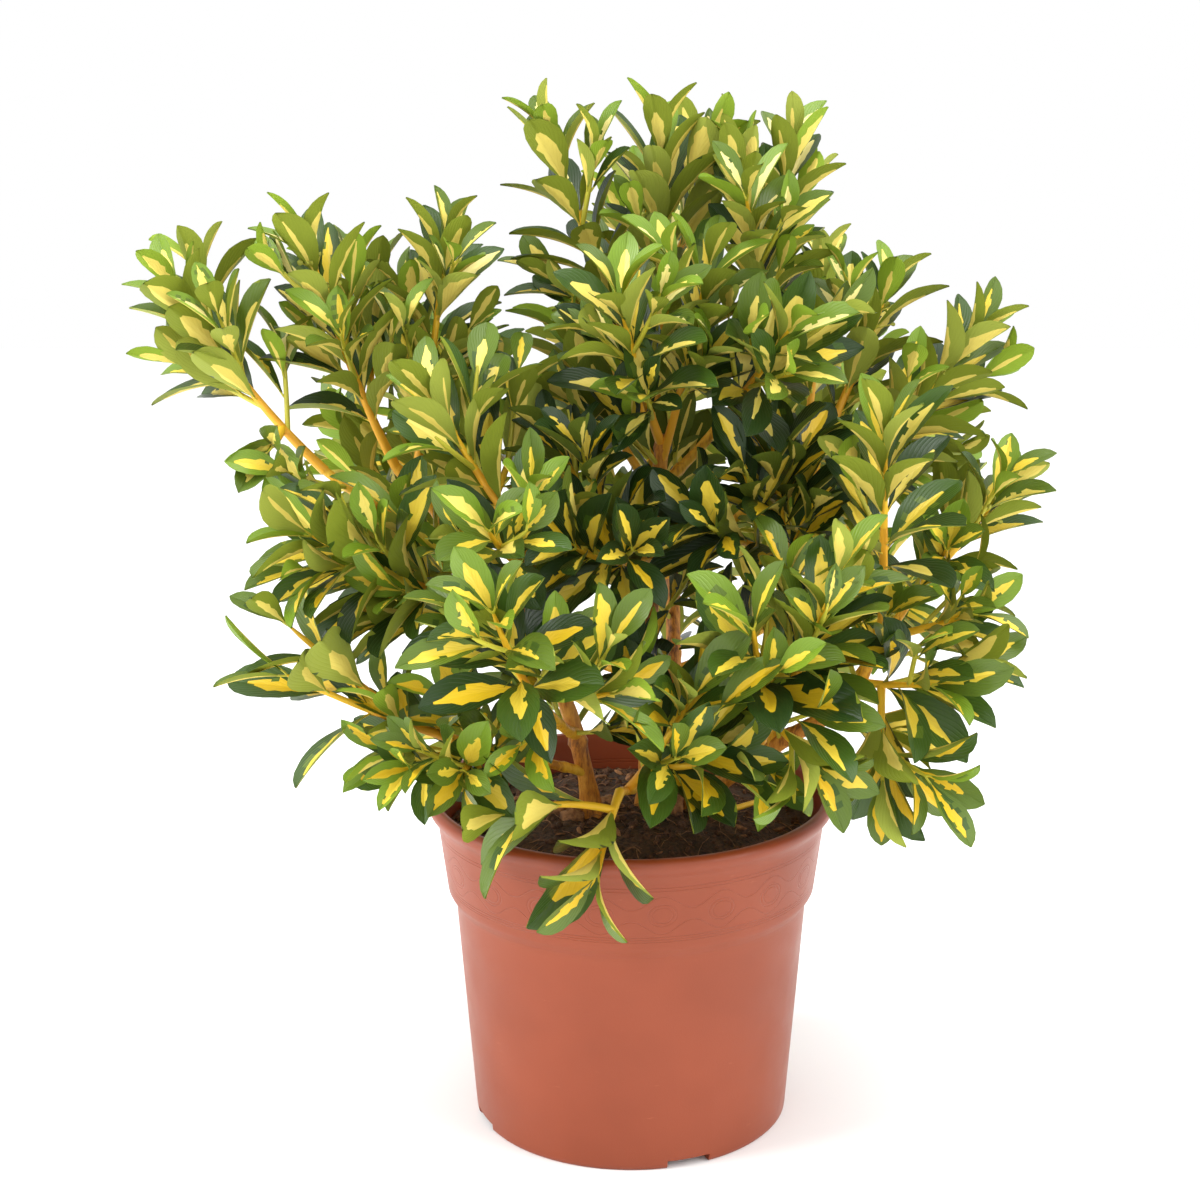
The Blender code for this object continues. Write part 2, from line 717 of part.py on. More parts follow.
def shoot_leaves(points, mass, rng, bare):
    """List the leaves of a shoot, from its tip down: root, pose and length."""
    lengths = [0.0]
    for before, after in zip(points, points[1:]):
        lengths.append(lengths[-1] + (after - before).length)
    total = lengths[-1]
    count = int(total * (1.0 - bare) / PAIR_PITCH) + 1
    turn = rng.uniform(0.0, math.pi)
    leaves = []
    for pair in range(count):
        place = max(total - pair * PAIR_PITCH - 0.001, 0.0)
        index = max(i for i, d in enumerate(lengths[:-1]) if d <= place)
        axis = (points[index + 1] - points[index]).normalized()
        root = points[index] + axis * (place - lengths[index])
        age = min(1.0, pair / PAIRS_TO_OPEN)
        opening = OPEN_AT_TIP + (OPEN_WHEN_OLD - OPEN_AT_TIP) * age
        for side in (0.0, math.pi):
            azimuth = turn + pair * math.pi / 2 + side + rng.uniform(-TURN_SWING, TURN_SWING)
            spread = opening + rng.uniform(-OPENING_SWING, OPENING_SWING)
            hang = mass.hang * age + AGE_DROOP * age * rng.random()
            length = mass.leaf * leaf_growth(pair) * rng.uniform(*LENGTH_RANGE)
            leaves.append((root, axis, azimuth, spread, hang, length))
    return leaves


def leader_path(mass, paths, trees):
    """Path of a mass's leading shoot, seated on the limb that carries it."""
    start, _ = point_along(paths[mass.limb], mass.along)
    tip = Vector(mass.tip)
    low = Vector((0.0, 0.0, -mass.sag * (tip - start).length))
    leader = bent(start, start.lerp(tip, 0.5) + low, tip, SHOOT_POINTS)
    return seated(leader, STEM_RADIUS, trees[mass.limb])


def second_path(mass, leader, share):
    """Path of the shoot that leaves the leader for the mass's second tip."""
    fork, _ = point_along(leader, share)
    end = Vector(mass.second)
    low = Vector((0.0, 0.0, -mass.sag * (end - fork).length))
    return bent(fork, fork.lerp(end, 0.5) + low, end, SHOOT_POINTS)


def side_path(shoot, share, azimuth, length):
    """Path of a short side twig that leaves a shoot and turns to the light."""
    fork, axis = point_along(shoot, share)
    away = Quaternion(axis, azimuth) @ axis.orthogonal().normalized()
    ahead = axis * math.cos(SIDE_TWIG_ANGLE) + away * math.sin(SIDE_TWIG_ANGLE)
    ahead = (ahead + Vector((0.0, 0.0, SIDE_TWIG_RISE))).normalized()
    return [fork, fork + ahead * length]


def fused(name, stem, others, parts, scratch):
    """Join a stem with its twigs and leaves into one closed solid."""
    target = new_object(name, stem, parts, FOLIAGE)
    for mesh in others:
        scratch.objects.link(bpy.data.objects.new(name + "_piece", mesh))
    join = target.modifiers.new("join", "BOOLEAN")
    join.operation = "UNION"
    join.operand_type = "COLLECTION"
    join.collection = scratch
    join.solver = "MANIFOLD"
    mesh = evaluated_mesh(target)
    target.modifiers.clear()
    for thing in list(scratch.objects):
        bpy.data.objects.remove(thing, do_unlink=True)
    target.data = mesh
    mesh.name = name
    keep_largest_body(mesh)
    return target


def keep_largest_body(mesh):
    """Drop loose scraps and the walls of sealed hollows."""
    shape = bmesh.new()
    shape.from_mesh(mesh)
    bmesh.ops.triangulate(shape, faces=shape.faces)
    shape.faces.ensure_lookup_table()
    seen = set()
    bodies = []
    for face in shape.faces:
        if face.index in seen:
            continue
        body = []
        waiting = [face]
        seen.add(face.index)
        while waiting:
            here = waiting.pop()
            body.append(here)
            for edge in here.edges:
                for near in edge.link_faces:
                    if near.index not in seen:
                        seen.add(near.index)
                        waiting.append(near)
        bodies.append(body)
    bodies.sort(key=len, reverse=True)
    for body in bodies[1:]:
        bmesh.ops.delete(shape, geom=body, context="FACES")
    shape.to_mesh(mesh)
    shape.free()


def twig_mesh(points, radius):
    """Three-sided twig that tapers to its tip."""
    steps = len(points) - 1
    radii = [radius + (TIP_RADIUS - radius) * i / steps for i in range(steps + 1)]
    return tube_mesh("twig", points, radii, 3)


def mass_twigs(mass, paths, trees, others, rng):
    """Twigs of one mass: leader, second shoot and side twigs, each with its path."""
    leader = leader_path(mass, paths, trees)
    twig = twig_mesh(leader, STEM_RADIUS)
    for _ in range(SEAT_TRIES):
        if not mesh_touches(twig, others):
            break
        leader[0] = leader[0].lerp(leader[1], SEAT_STEP)
        twig = twig_mesh(leader, STEM_RADIUS)
    else:
        print("%s: its leader touches a neighbour" % mass.name)
    twigs = [(leader, twig, LEADER_BARE)]
    if mass.second:
        for share in FORKS_TRIED:
            path = second_path(mass, leader, share)
            twig = twig_mesh(path, STEM_RADIUS * SECOND_GIRTH)
            if not mesh_touches(twig, others):
                twigs.append((path, twig, SECOND_BARE))
                break
    first = rng.uniform(0.0, math.tau)
    for attempt in range(TWIG_TRIES):
        share = rng.uniform(*SIDE_TWIG_FORK)
        length = SIDE_TWIG_LENGTH * rng.uniform(*SIDE_TWIG_RANGE)
        path = side_path(leader, share, first + attempt * math.tau / TWIG_TRIES, length)
        twig = twig_mesh(path, STEM_RADIUS * SIDE_GIRTH)
        if not mesh_touches(twig, others):
            twigs.append((path, twig, SIDE_BARE))
            break
    return twigs


def blocked(root, ahead, top, length, others, blades):
    """Test a leaf against other pieces and against its own mass's blades."""
    place = leaf_matrix(root, ahead, top)
    fat = leaf_mesh(length, LEAF_CLEARANCE)
    bmesh.ops.transform(fat, matrix=place, verts=fat.verts)
    crossed = touches(fat, others)
    fat.free()
    if crossed:
        return True
    blade = leaf_mesh(length, LEAF_CLEARANCE, length * BLADE_START)
    bmesh.ops.transform(blade, matrix=place, verts=blade.verts)
    crossed = touches(blade, blades)
    if not crossed:
        blades.append(BVHTree.FromBMesh(blade))
    blade.free()
    return crossed


def make_mass(mass, twigs, trees, rng, parts, scratch):
    """Put leaves on a mass's twigs, in the space that its neighbours leave."""
    others = [tree for name, tree in trees.items() if name != mass.name]
    pieces = [twig for _, twig, _ in twigs]
    blades = [tree_of(twig) for twig in pieces]
    for points, _, bare in twigs:
        for root, axis, azimuth, opening, hang, length in shoot_leaves(points, mass, rng, bare):
            for turn in TURNS_TRIED:
                ahead, top = leaf_pose(axis, azimuth + math.radians(turn), opening, hang)
                if blocked(root, ahead, top, length, others, blades):
                    continue
                leaf = leaf_mesh(length, 0.0)
                bmesh.ops.transform(leaf, matrix=leaf_matrix(root, ahead, top), verts=leaf.verts)
                mesh = bpy.data.meshes.new(mass.name + "_leaf")
                leaf.to_mesh(mesh)
                leaf.free()
                pieces.append(mesh)
                break
    target = fused(mass.name, pieces[0], pieces[1:], parts, scratch)
    trees[mass.name] = tree_of(target.data)
    return len(pieces) - len(twigs)


def main():
    """Build the pot, the soil, the limbs and the masses of foliage."""
    clear_scene()
    parts = new_collection("potted_japanese_spindle")
    cutters = new_collection("cutters")
    scratch = new_collection("union_pieces")
    pot = make_pot(parts, cutters)
    soil = make_soil(parts)
    paths = {}
    trees = {"pot": tree_of(evaluated_mesh(pot)), "soil": tree_of(soil.data)}
    for limb in TRUNKS + BOUGHS:
        make_limb(limb, paths, trees, parts)
    # Every mass has its twigs before any has its leaves, so that no leaf bars a twig
    draws = {}
    twigs = {}
    for mass in MASSES:
        draws[mass.name] = random.Random(SEED + sum(ord(letter) for letter in mass.name))
        twigs[mass.name] = mass_twigs(mass, paths, trees, list(trees.values()), draws[mass.name])
        trees[mass.name] = joined_tree([twig for _, twig, _ in twigs[mass.name]])
    for mass in MASSES:
        own = twigs[mass.name]
        leaves = make_mass(mass, own, trees, draws[mass.name], parts, scratch)
        print("%s: %d twigs, %d leaves" % (mass.name, len(own), leaves))
    bpy.data.collections.remove(scratch)


main()
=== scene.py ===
"""Looks of the potted Japanese spindle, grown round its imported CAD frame.

The limbs and shoots follow the same named sizes and the same rule as the CAD
source, and are carried on here to finer twigs and to leaves in their own
outline. Units are metres, +Z is up, and the front of the plant faces -Y.
"""

from __future__ import annotations

import logging
import math
import random
from dataclasses import dataclass
from enum import Enum
from typing import NamedTuple, Sequence

import bmesh
import bpy
import numpy as np
from mathutils import Matrix, Quaternion, Vector, noise
from mathutils.bvhtree import BVHTree

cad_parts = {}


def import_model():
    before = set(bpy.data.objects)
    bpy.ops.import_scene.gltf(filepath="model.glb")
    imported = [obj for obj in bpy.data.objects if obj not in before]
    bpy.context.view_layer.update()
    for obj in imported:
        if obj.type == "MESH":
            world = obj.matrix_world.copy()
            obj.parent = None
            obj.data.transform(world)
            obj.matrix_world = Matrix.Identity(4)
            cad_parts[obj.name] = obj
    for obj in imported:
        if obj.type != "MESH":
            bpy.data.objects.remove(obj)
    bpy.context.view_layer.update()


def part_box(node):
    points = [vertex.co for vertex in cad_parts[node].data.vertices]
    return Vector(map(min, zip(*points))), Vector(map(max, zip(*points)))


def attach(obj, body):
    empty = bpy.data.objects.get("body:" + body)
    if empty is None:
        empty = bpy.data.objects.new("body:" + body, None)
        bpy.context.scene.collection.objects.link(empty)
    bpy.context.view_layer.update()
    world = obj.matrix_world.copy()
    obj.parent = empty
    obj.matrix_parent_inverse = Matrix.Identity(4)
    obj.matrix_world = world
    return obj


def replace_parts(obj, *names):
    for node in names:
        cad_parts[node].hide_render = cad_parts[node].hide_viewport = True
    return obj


LOG = logging.getLogger("spindle")
BODY = "root"
UP = Vector((0.0, 0.0, 1.0))


def srgb(red: float, green: float, blue: float) -> tuple:
    """Turn screen values from 0 to 255 into a linear colour.

    Args:
        red: Red value.
        green: Green value.
        blue: Blue value.

    Returns:
        Linear red, green and blue from 0 to 1.
    """
    values = [part / 255.0 for part in (red, green, blue)]
    return tuple(v / 12.92 if v <= 0.04045 else ((v + 0.055) / 1.055) ** 2.4 for v in values)


# Plan of the plant, the same as in the CAD source


class Limb(NamedTuple):
    """One tapering limb, from where it starts to its tip."""

    name: str
    host: str
    along: float
    start: tuple
    bend: tuple
    tip: tuple
    radius: tuple


class Mass(NamedTuple):
    """One mass of foliage: the limb that carries it and the tips it reaches."""

    name: str
    limb: str
    along: float
    tip: tuple
    second: tuple
    leaf: float
    sag: float
    hang: float


# Trunks rise from the soil; a trunk's start is its place on the ground
TRUNKS = (
    Limb(
        "trunk_centre", "", 0.0,
        (0.010, 0.005), (0.008, 0.002, 0.300), (0.018, 0.000, 0.410), (0.0056, 0.0041),
    ),
    Limb(
        "trunk_left", "", 0.0,
        (-0.024, -0.012), (-0.030, -0.024, 0.285), (-0.098, -0.012, 0.355), (0.0054, 0.0034),
    ),
    Limb(
        "trunk_right", "", 0.0,
        (0.036, -0.002), (0.072, -0.016, 0.228), (0.124, -0.038, 0.262), (0.0056, 0.0042),
    ),
    Limb(
        "trunk_back", "", 0.0,
        (0.022, 0.040), (0.030, 0.066, 0.270), (0.022, 0.082, 0.345), (0.0054, 0.0036),
    ),
)

# Boughs: the host limb, how far along it they leave, the way they bend and their tip
BOUGHS = (
    Limb(
        "bough_left_high", "trunk_left", 1.0,
        (), (-0.118, 0.000, 0.372), (-0.134, 0.002, 0.392), (0.0033, 0.0027),
    ),
    Limb(
        "bough_left_far", "trunk_left", 0.86,
        (), (-0.130, -0.022, 0.362), (-0.172, -0.018, 0.394), (0.0031, 0.0025),
    ),
    Limb(
        "bough_left_mid", "trunk_left", 0.62,
        (), (-0.050, -0.045, 0.335), (-0.062, -0.066, 0.372), (0.0030, 0.0024),
    ),
    Limb(
        "bough_front_left", "trunk_left", 0.36,
        (), (-0.036, -0.048, 0.248), (-0.046, -0.092, 0.276), (0.0032, 0.0025),
    ),
    Limb(
        "bough_low_left", "trunk_left", 0.24,
        (), (-0.048, -0.034, 0.226), (-0.088, -0.064, 0.247), (0.0029, 0.0023),
    ),
    Limb(
        "bough_front_low", "trunk_centre", 0.10,
        (), (0.000, -0.046, 0.214), (-0.006, -0.082, 0.226), (0.0028, 0.0022),
    ),
    Limb(
        "bough_crest", "trunk_centre", 0.78,
        (), (0.012, 0.036, 0.395), (0.016, 0.046, 0.456), (0.0034, 0.0026),
    ),
    Limb(
        "bough_right_high", "trunk_centre", 0.88,
        (), (0.048, 0.018, 0.405), (0.070, 0.022, 0.440), (0.0032, 0.0025),
    ),
    Limb(
        "bough_shoulder", "trunk_right", 0.62,
        (), (0.092, 0.004, 0.320), (0.108, 0.012, 0.400), (0.0034, 0.0025),
    ),
    Limb(
        "bough_right_plume", "trunk_right", 1.0,
        (), (0.134, -0.044, 0.286), (0.140, -0.054, 0.316), (0.0040, 0.0031),
    ),
    Limb(
        "bough_right_out", "trunk_right", 0.90,
        (), (0.142, -0.016, 0.288), (0.166, -0.008, 0.326), (0.0031, 0.0024),
    ),
    Limb(
        "bough_front_right", "trunk_right", 0.44,
        (), (0.074, -0.052, 0.244), (0.080, -0.088, 0.276), (0.0031, 0.0024),
    ),
    Limb(
        "bough_back_left", "trunk_back", 0.80,
        (), (-0.030, 0.090, 0.330), (-0.086, 0.098, 0.352), (0.0032, 0.0025),
    ),
    Limb(
        "bough_back_mid", "trunk_back", 1.0,
        (), (0.014, 0.100, 0.372), (0.006, 0.124, 0.392), (0.0035, 0.0026),
    ),
    Limb(
        "bough_back_right", "trunk_back", 0.86,
        (), (0.062, 0.088, 0.342), (0.104, 0.090, 0.368), (0.0032, 0.0025),
    ),
    Limb(
        "bough_low_back_left", "trunk_back", 0.42,
        (), (-0.026, 0.078, 0.256), (-0.078, 0.108, 0.264), (0.0029, 0.0023),
    ),
    Limb(
        "bough_low_back_right", "trunk_back", 0.48,
        (), (0.062, 0.084, 0.262), (0.092, 0.122, 0.268), (0.0029, 0.0023),
    ),
)

NONE = ()
MASSES = (
    Mass(
        "leaves_left_far", "bough_left_far", 1.0,
        (-0.250, -0.010, 0.492), (-0.198, -0.040, 0.412), 0.056, 0.10, 0.08,
    ),
    Mass(
        "leaves_left_high", "bough_left_high", 1.0,
        (-0.179, -0.012, 0.522), (-0.150, 0.045, 0.491), 0.054, 0.12, 0.03,
    ),
    Mass("leaves_left_inner", "bough_left_high", 0.70, (-0.104, 0.010, 0.520), NONE, 0.052, 0.10, 0.05),
    Mass(
        "leaves_left_mid", "bough_left_mid", 1.0,
        (-0.103, -0.066, 0.438), (-0.065, -0.022, 0.412), 0.056, 0.08, 0.05,
    ),
    Mass("leaves_left_bright", "bough_left_mid", 0.72, (-0.074, -0.128, 0.385), NONE, 0.052, 0.14, 0.10),
    Mass("leaves_left_low", "trunk_left", 0.70, (-0.174, -0.074, 0.370), NONE, 0.060, 0.04, 0.25),
    Mass(
        "leaves_front_left", "bough_front_left", 1.0,
        (-0.070, -0.168, 0.352), (-0.010, -0.138, 0.300), 0.056, 0.12, 0.20,
    ),
    Mass(
        "leaves_low_left", "bough_low_left", 1.0,
        (-0.188, -0.090, 0.296), (-0.186, -0.084, 0.322), 0.058, 0.04, 0.15,
    ),
    Mass(
        "leaves_left_hanging", "bough_low_left", 0.74,
        (-0.130, -0.094, 0.252), (-0.090, -0.116, 0.250), 0.056, 0.02, 0.40,
    ),
    Mass(
        "leaves_front_drooping", "bough_front_low", 1.0,
        (-0.018, -0.134, 0.196), (-0.066, -0.124, 0.228), 0.056, -0.14, 0.70,
    ),
    Mass(
        "leaves_front_low", "bough_front_low", 0.70,
        (0.031, -0.122, 0.290), (0.054, -0.114, 0.256), 0.058, 0.05, 0.30,
    ),
    Mass(
        "leaves_centre_left", "trunk_centre", 0.72,
        (-0.030, -0.088, 0.366), (-0.040, -0.036, 0.412), 0.056, 0.10, 0.15,
    ),
    Mass("leaves_centre_back", "trunk_centre", 0.86, (-0.034, 0.022, 0.462), NONE, 0.056, 0.12, 0.05),
    Mass("leaves_crest_left", "bough_crest", 0.72, (-0.046, 0.034, 0.577), NONE, 0.054, 0.08, 0.05),
    Mass(
        "leaves_crest", "bough_crest", 1.0,
        (0.018, 0.040, 0.572), (0.050, 0.070, 0.556), 0.060, 0.04, 0.05,
    ),
    Mass(
        "leaves_crest_right", "bough_right_high", 1.0,
        (0.091, 0.040, 0.566), (0.064, 0.000, 0.544), 0.056, 0.06, 0.05,
    ),
    Mass("leaves_centre_front", "trunk_centre", 0.98, (-0.006, -0.056, 0.496), NONE, 0.060, 0.10, 0.08),
    Mass("leaves_centre", "trunk_centre", 0.93, (0.042, -0.024, 0.508), NONE, 0.056, 0.10, 0.08),
    Mass("leaves_right_inner", "bough_right_high", 0.62, (0.086, -0.046, 0.478), NONE, 0.056, 0.02, 0.08),
    Mass("leaves_right_shoulder", "bough_shoulder", 1.0, (0.146, 0.030, 0.488), NONE, 0.052, 0.08, 0.05),
    Mass("leaves_right_far", "bough_shoulder", 0.74, (0.192, 0.006, 0.466), NONE, 0.056, 0.10, 0.06),
    Mass(
        "leaves_inner_right", "bough_shoulder", 0.50,
        (0.078, -0.036, 0.412), (0.040, -0.052, 0.372), 0.056, 0.06, 0.12,
    ),
    Mass("leaves_right_plume", "bough_right_plume", 1.0, (0.136, -0.080, 0.424), NONE, 0.058, 0.02, 0.10),
    Mass(
        "leaves_right_tip", "bough_right_out", 1.0,
        (0.209, 0.002, 0.374), (0.176, -0.040, 0.354), 0.054, 0.08, 0.08,
    ),
    Mass("leaves_right_out", "bough_right_out", 0.60, (0.190, -0.050, 0.320), NONE, 0.054, 0.04, 0.20),
    Mass(
        "leaves_right_hanging", "bough_right_plume", 0.30,
        (0.164, -0.090, 0.290), (0.138, -0.088, 0.238), 0.062, 0.02, 0.55,
    ),
    Mass(
        "leaves_front_right_high", "bough_front_right", 1.0,
        (0.108, -0.122, 0.358), NONE, 0.052, 0.10, 0.10,
    ),
    Mass(
        "leaves_front_right", "bough_front_right", 0.70,
        (0.064, -0.134, 0.334), (0.095, -0.118, 0.258), 0.058, 0.08, 0.35,
    ),
    Mass(
        "leaves_back_left_high", "bough_back_left", 1.0,
        (-0.122, 0.126, 0.432), (-0.104, 0.084, 0.438), 0.056, 0.10, 0.08,
    ),
    Mass("leaves_back_left_out", "bough_back_left", 0.72, (-0.170, 0.108, 0.392), NONE, 0.056, 0.08, 0.20),
    Mass(
        "leaves_back_left_low", "bough_low_back_left", 1.0,
        (-0.128, 0.172, 0.322), (-0.136, 0.104, 0.284), 0.058, 0.06, 0.35,
    ),
    Mass("leaves_back_high", "bough_back_mid", 1.0, (0.010, 0.134, 0.532), NONE, 0.056, 0.06, 0.05),
    Mass(
        "leaves_back_out", "bough_back_mid", 0.60,
        (-0.016, 0.212, 0.430), (0.040, 0.192, 0.398), 0.058, 0.12, 0.15,
    ),
    Mass("leaves_back_right_high", "bough_back_right", 1.0, (0.118, 0.132, 0.486), NONE, 0.056, 0.10, 0.08),
    Mass(
        "leaves_back_right_out", "bough_back_right", 0.68,
        (0.182, 0.098, 0.398), (0.120, 0.180, 0.404), 0.056, 0.08, 0.20,
    ),
    Mass(
        "leaves_back_right_low", "bough_low_back_right", 1.0,
        (0.118, 0.182, 0.318), (0.164, 0.086, 0.290), 0.058, 0.06, 0.35,
    ),
)


# Finishes


class Slot(str, Enum):
    """Material slots of the record."""

    POT = "pot_plastic"
    SOIL = "potting_soil"
    STEM = "stem_bark"
    BOUGH = "bough_bark"
    LEAF = "foliage"


@dataclass(frozen=True)
class Finish:
    """Colour and surface of one material.

    Attributes:
        colour: Linear base colour.
        gloss: Lowest and highest roughness over the surface.
        relief: Depth of the bump in metres.
    """

    colour: tuple
    gloss: tuple = (0.36, 0.50)
    relief: float = 0.0002


class Tone(Enum):
    """Tones that the parts of the leaves and twigs are dealt out to."""

    # The deep margin is the green of older leaves, and is also given as painted shade to leaves deep in the crown.
    MARGIN_DEEP = Finish(srgb(36, 58, 20), (0.28, 0.40))
    MARGIN_MID = Finish(srgb(58, 84, 24), (0.28, 0.40))
    MARGIN_LIGHT = Finish(srgb(88, 110, 32), (0.30, 0.42))
    MARGIN_FRESH = Finish(srgb(112, 140, 36), (0.32, 0.44))
    HEART_GOLD = Finish(srgb(226, 188, 38), (0.36, 0.48))
    HEART_YELLOW = Finish(srgb(230, 202, 66), (0.36, 0.48))
    HEART_CREAM = Finish(srgb(234, 214, 104), (0.36, 0.48))
    HEART_PALE = Finish(srgb(238, 224, 144), (0.38, 0.50))
    # Painted shade: a darker copy of the olive underside, given to leaves deep in the crown.
    BACK_DEEP = Finish(srgb(92, 106, 34), (0.55, 0.68))
    BACK_OLIVE = Finish(srgb(128, 140, 44), (0.55, 0.68))
    BACK_PALE = Finish(srgb(152, 162, 66), (0.55, 0.68))
    BACK_FRESH = Finish(srgb(136, 162, 48), (0.55, 0.68))
    BACK_CREAM = Finish(srgb(230, 210, 104), (0.55, 0.68))
    TWIG_GREEN = Finish(srgb(192, 186, 60), (0.42, 0.55), 0.0001)
    TWIG_GOLD = Finish(srgb(240, 190, 44), (0.42, 0.55), 0.0001)
    TWIG_BROWN = Finish(srgb(232, 168, 38), (0.46, 0.60), 0.0001)
    BUD = Finish(srgb(176, 178, 70), (0.45, 0.58), 0.0001)

    @property
    def piece(self) -> str:
        """Name of the piece that holds this tone."""
        kind, _, tone = self.name.lower().partition("_")
        words = {"margin": "leaf_margins", "heart": "leaf_hearts", "back": "leaf_backs", "twig": "twigs"}
        return "%s_%s" % (words[kind], tone) if kind in words else "buds"


class NodeGroups:
    """Shader node groups that several materials share."""

    def __init__(self) -> None:
        self.mottle = self._mottle()
        self.veins = self._veins()
        self.grain = self._grain()

    @staticmethod
    def _new(name: str, inputs: Sequence[tuple], outputs: Sequence[str]) -> tuple:
        """Start a node group with float inputs and outputs.

        Args:
            name: Name of the group.
            inputs: Name and default value of each input.
            outputs: Name of each output.

        Returns:
            The group, its input node and its output node.
        """
        group = bpy.data.node_groups.new(name, "ShaderNodeTree")
        for label, value in inputs:
            socket = group.interface.new_socket(label, in_out="INPUT", socket_type="NodeSocketFloat")
            socket.default_value = value
        for label in outputs:
            group.interface.new_socket(label, in_out="OUTPUT", socket_type="NodeSocketFloat")
        return group, group.nodes.new("NodeGroupInput"), group.nodes.new("NodeGroupOutput")

    @staticmethod
    def math(tree: bpy.types.NodeTree, operation: str, *values: object) -> bpy.types.NodeSocket:
        """Add a Math node fed with sockets or numbers.

        Args:
            tree: Node tree that takes the node.
            operation: Name of the operation.
            values: A socket or a number for each input.

        Returns:
            The node's output socket.
        """
        node = tree.nodes.new("ShaderNodeMath")
        node.operation = operation
        for slot, value in zip(node.inputs, values):
            if isinstance(value, (int, float)):
                slot.default_value = value
            else:
                tree.links.new(value, slot)
        return node.outputs[0]

    def _mottle(self) -> bpy.types.NodeTree:
        """Soft clouds between a low and a high value."""
        group, given, out = self._new("mottle", [("Scale", 60.0), ("Low", 0.3), ("High", 0.5)], ["Value"])
        place = group.nodes.new("ShaderNodeTexCoord")
        clouds = group.nodes.new("ShaderNodeTexNoise")
        clouds.inputs["Detail"].default_value = 3.0
        group.links.new(place.outputs["Object"], clouds.inputs["Vector"])
        group.links.new(given.outputs["Scale"], clouds.inputs["Scale"])
        spread = group.nodes.new("ShaderNodeMapRange")
        spread.inputs["From Min"].default_value = 0.30
        spread.inputs["From Max"].default_value = 0.70
        group.links.new(clouds.outputs["Fac"], spread.inputs["Value"])
        group.links.new(given.outputs["Low"], spread.inputs["To Min"])
        group.links.new(given.outputs["High"], spread.inputs["To Max"])
        group.links.new(spread.outputs["Result"], out.inputs["Value"])
        return group

    def _veins(self) -> bpy.types.NodeTree:
        """Height of a leaf's sunk rib and slanting side veins, from its UV map."""
        group, given, out = self._new("leaf_veins", [("Side Veins", 7.0), ("Slant", 1.6)], ["Height"])
        place = group.nodes.new("ShaderNodeUVMap")
        split = group.nodes.new("ShaderNodeSeparateXYZ")
        group.links.new(place.outputs["UV"], split.inputs["Vector"])
        across = self.math(group, "ABSOLUTE", self.math(group, "SUBTRACT", split.outputs["X"], 0.5))
        slant = self.math(group, "MULTIPLY", across, given.outputs["Slant"])
        along = self.math(group, "SUBTRACT", split.outputs["Y"], slant)
        phase = self.math(group, "MULTIPLY", along, self.math(group, "MULTIPLY", given.outputs["Side Veins"], math.tau))
        wave = self.math(group, "COSINE", phase)
        ridge = self.math(group, "POWER", self.math(group, "MULTIPLY_ADD", wave, 0.5, 0.5), 4.0)
        side = self.math(group, "MULTIPLY", ridge, -0.45)
        rib = self.math(group, "SUBTRACT", self.math(group, "MINIMUM", self.math(group, "MULTIPLY", across, 16.0), 1.0), 1.0)
        total = self.math(group, "ADD", side, rib)
        group.links.new(total, out.inputs["Height"])
        return group

    def _grain(self) -> bpy.types.NodeTree:
        """Fine grain with a coarser swell under it."""
        group, given, out = self._new("grain", [("Scale", 900.0), ("Swell", 0.4)], ["Height"])
        place = group.nodes.new("ShaderNodeTexCoord")
        fine = group.nodes.new("ShaderNodeTexNoise")
        fine.inputs["Detail"].default_value = 4.0
        coarse = group.nodes.new("ShaderNodeTexNoise")
        coarse.inputs["Detail"].default_value = 2.0
        for clouds in (fine, coarse):
            group.links.new(place.outputs["Object"], clouds.inputs["Vector"])
        group.links.new(given.outputs["Scale"], fine.inputs["Scale"])
        group.links.new(self.math(group, "MULTIPLY", given.outputs["Scale"], 0.14), coarse.inputs["Scale"])
        swell = self.math(group, "MULTIPLY", coarse.outputs["Fac"], given.outputs["Swell"])
        group.links.new(self.math(group, "ADD", fine.outputs["Fac"], swell), out.inputs["Height"])
        return group


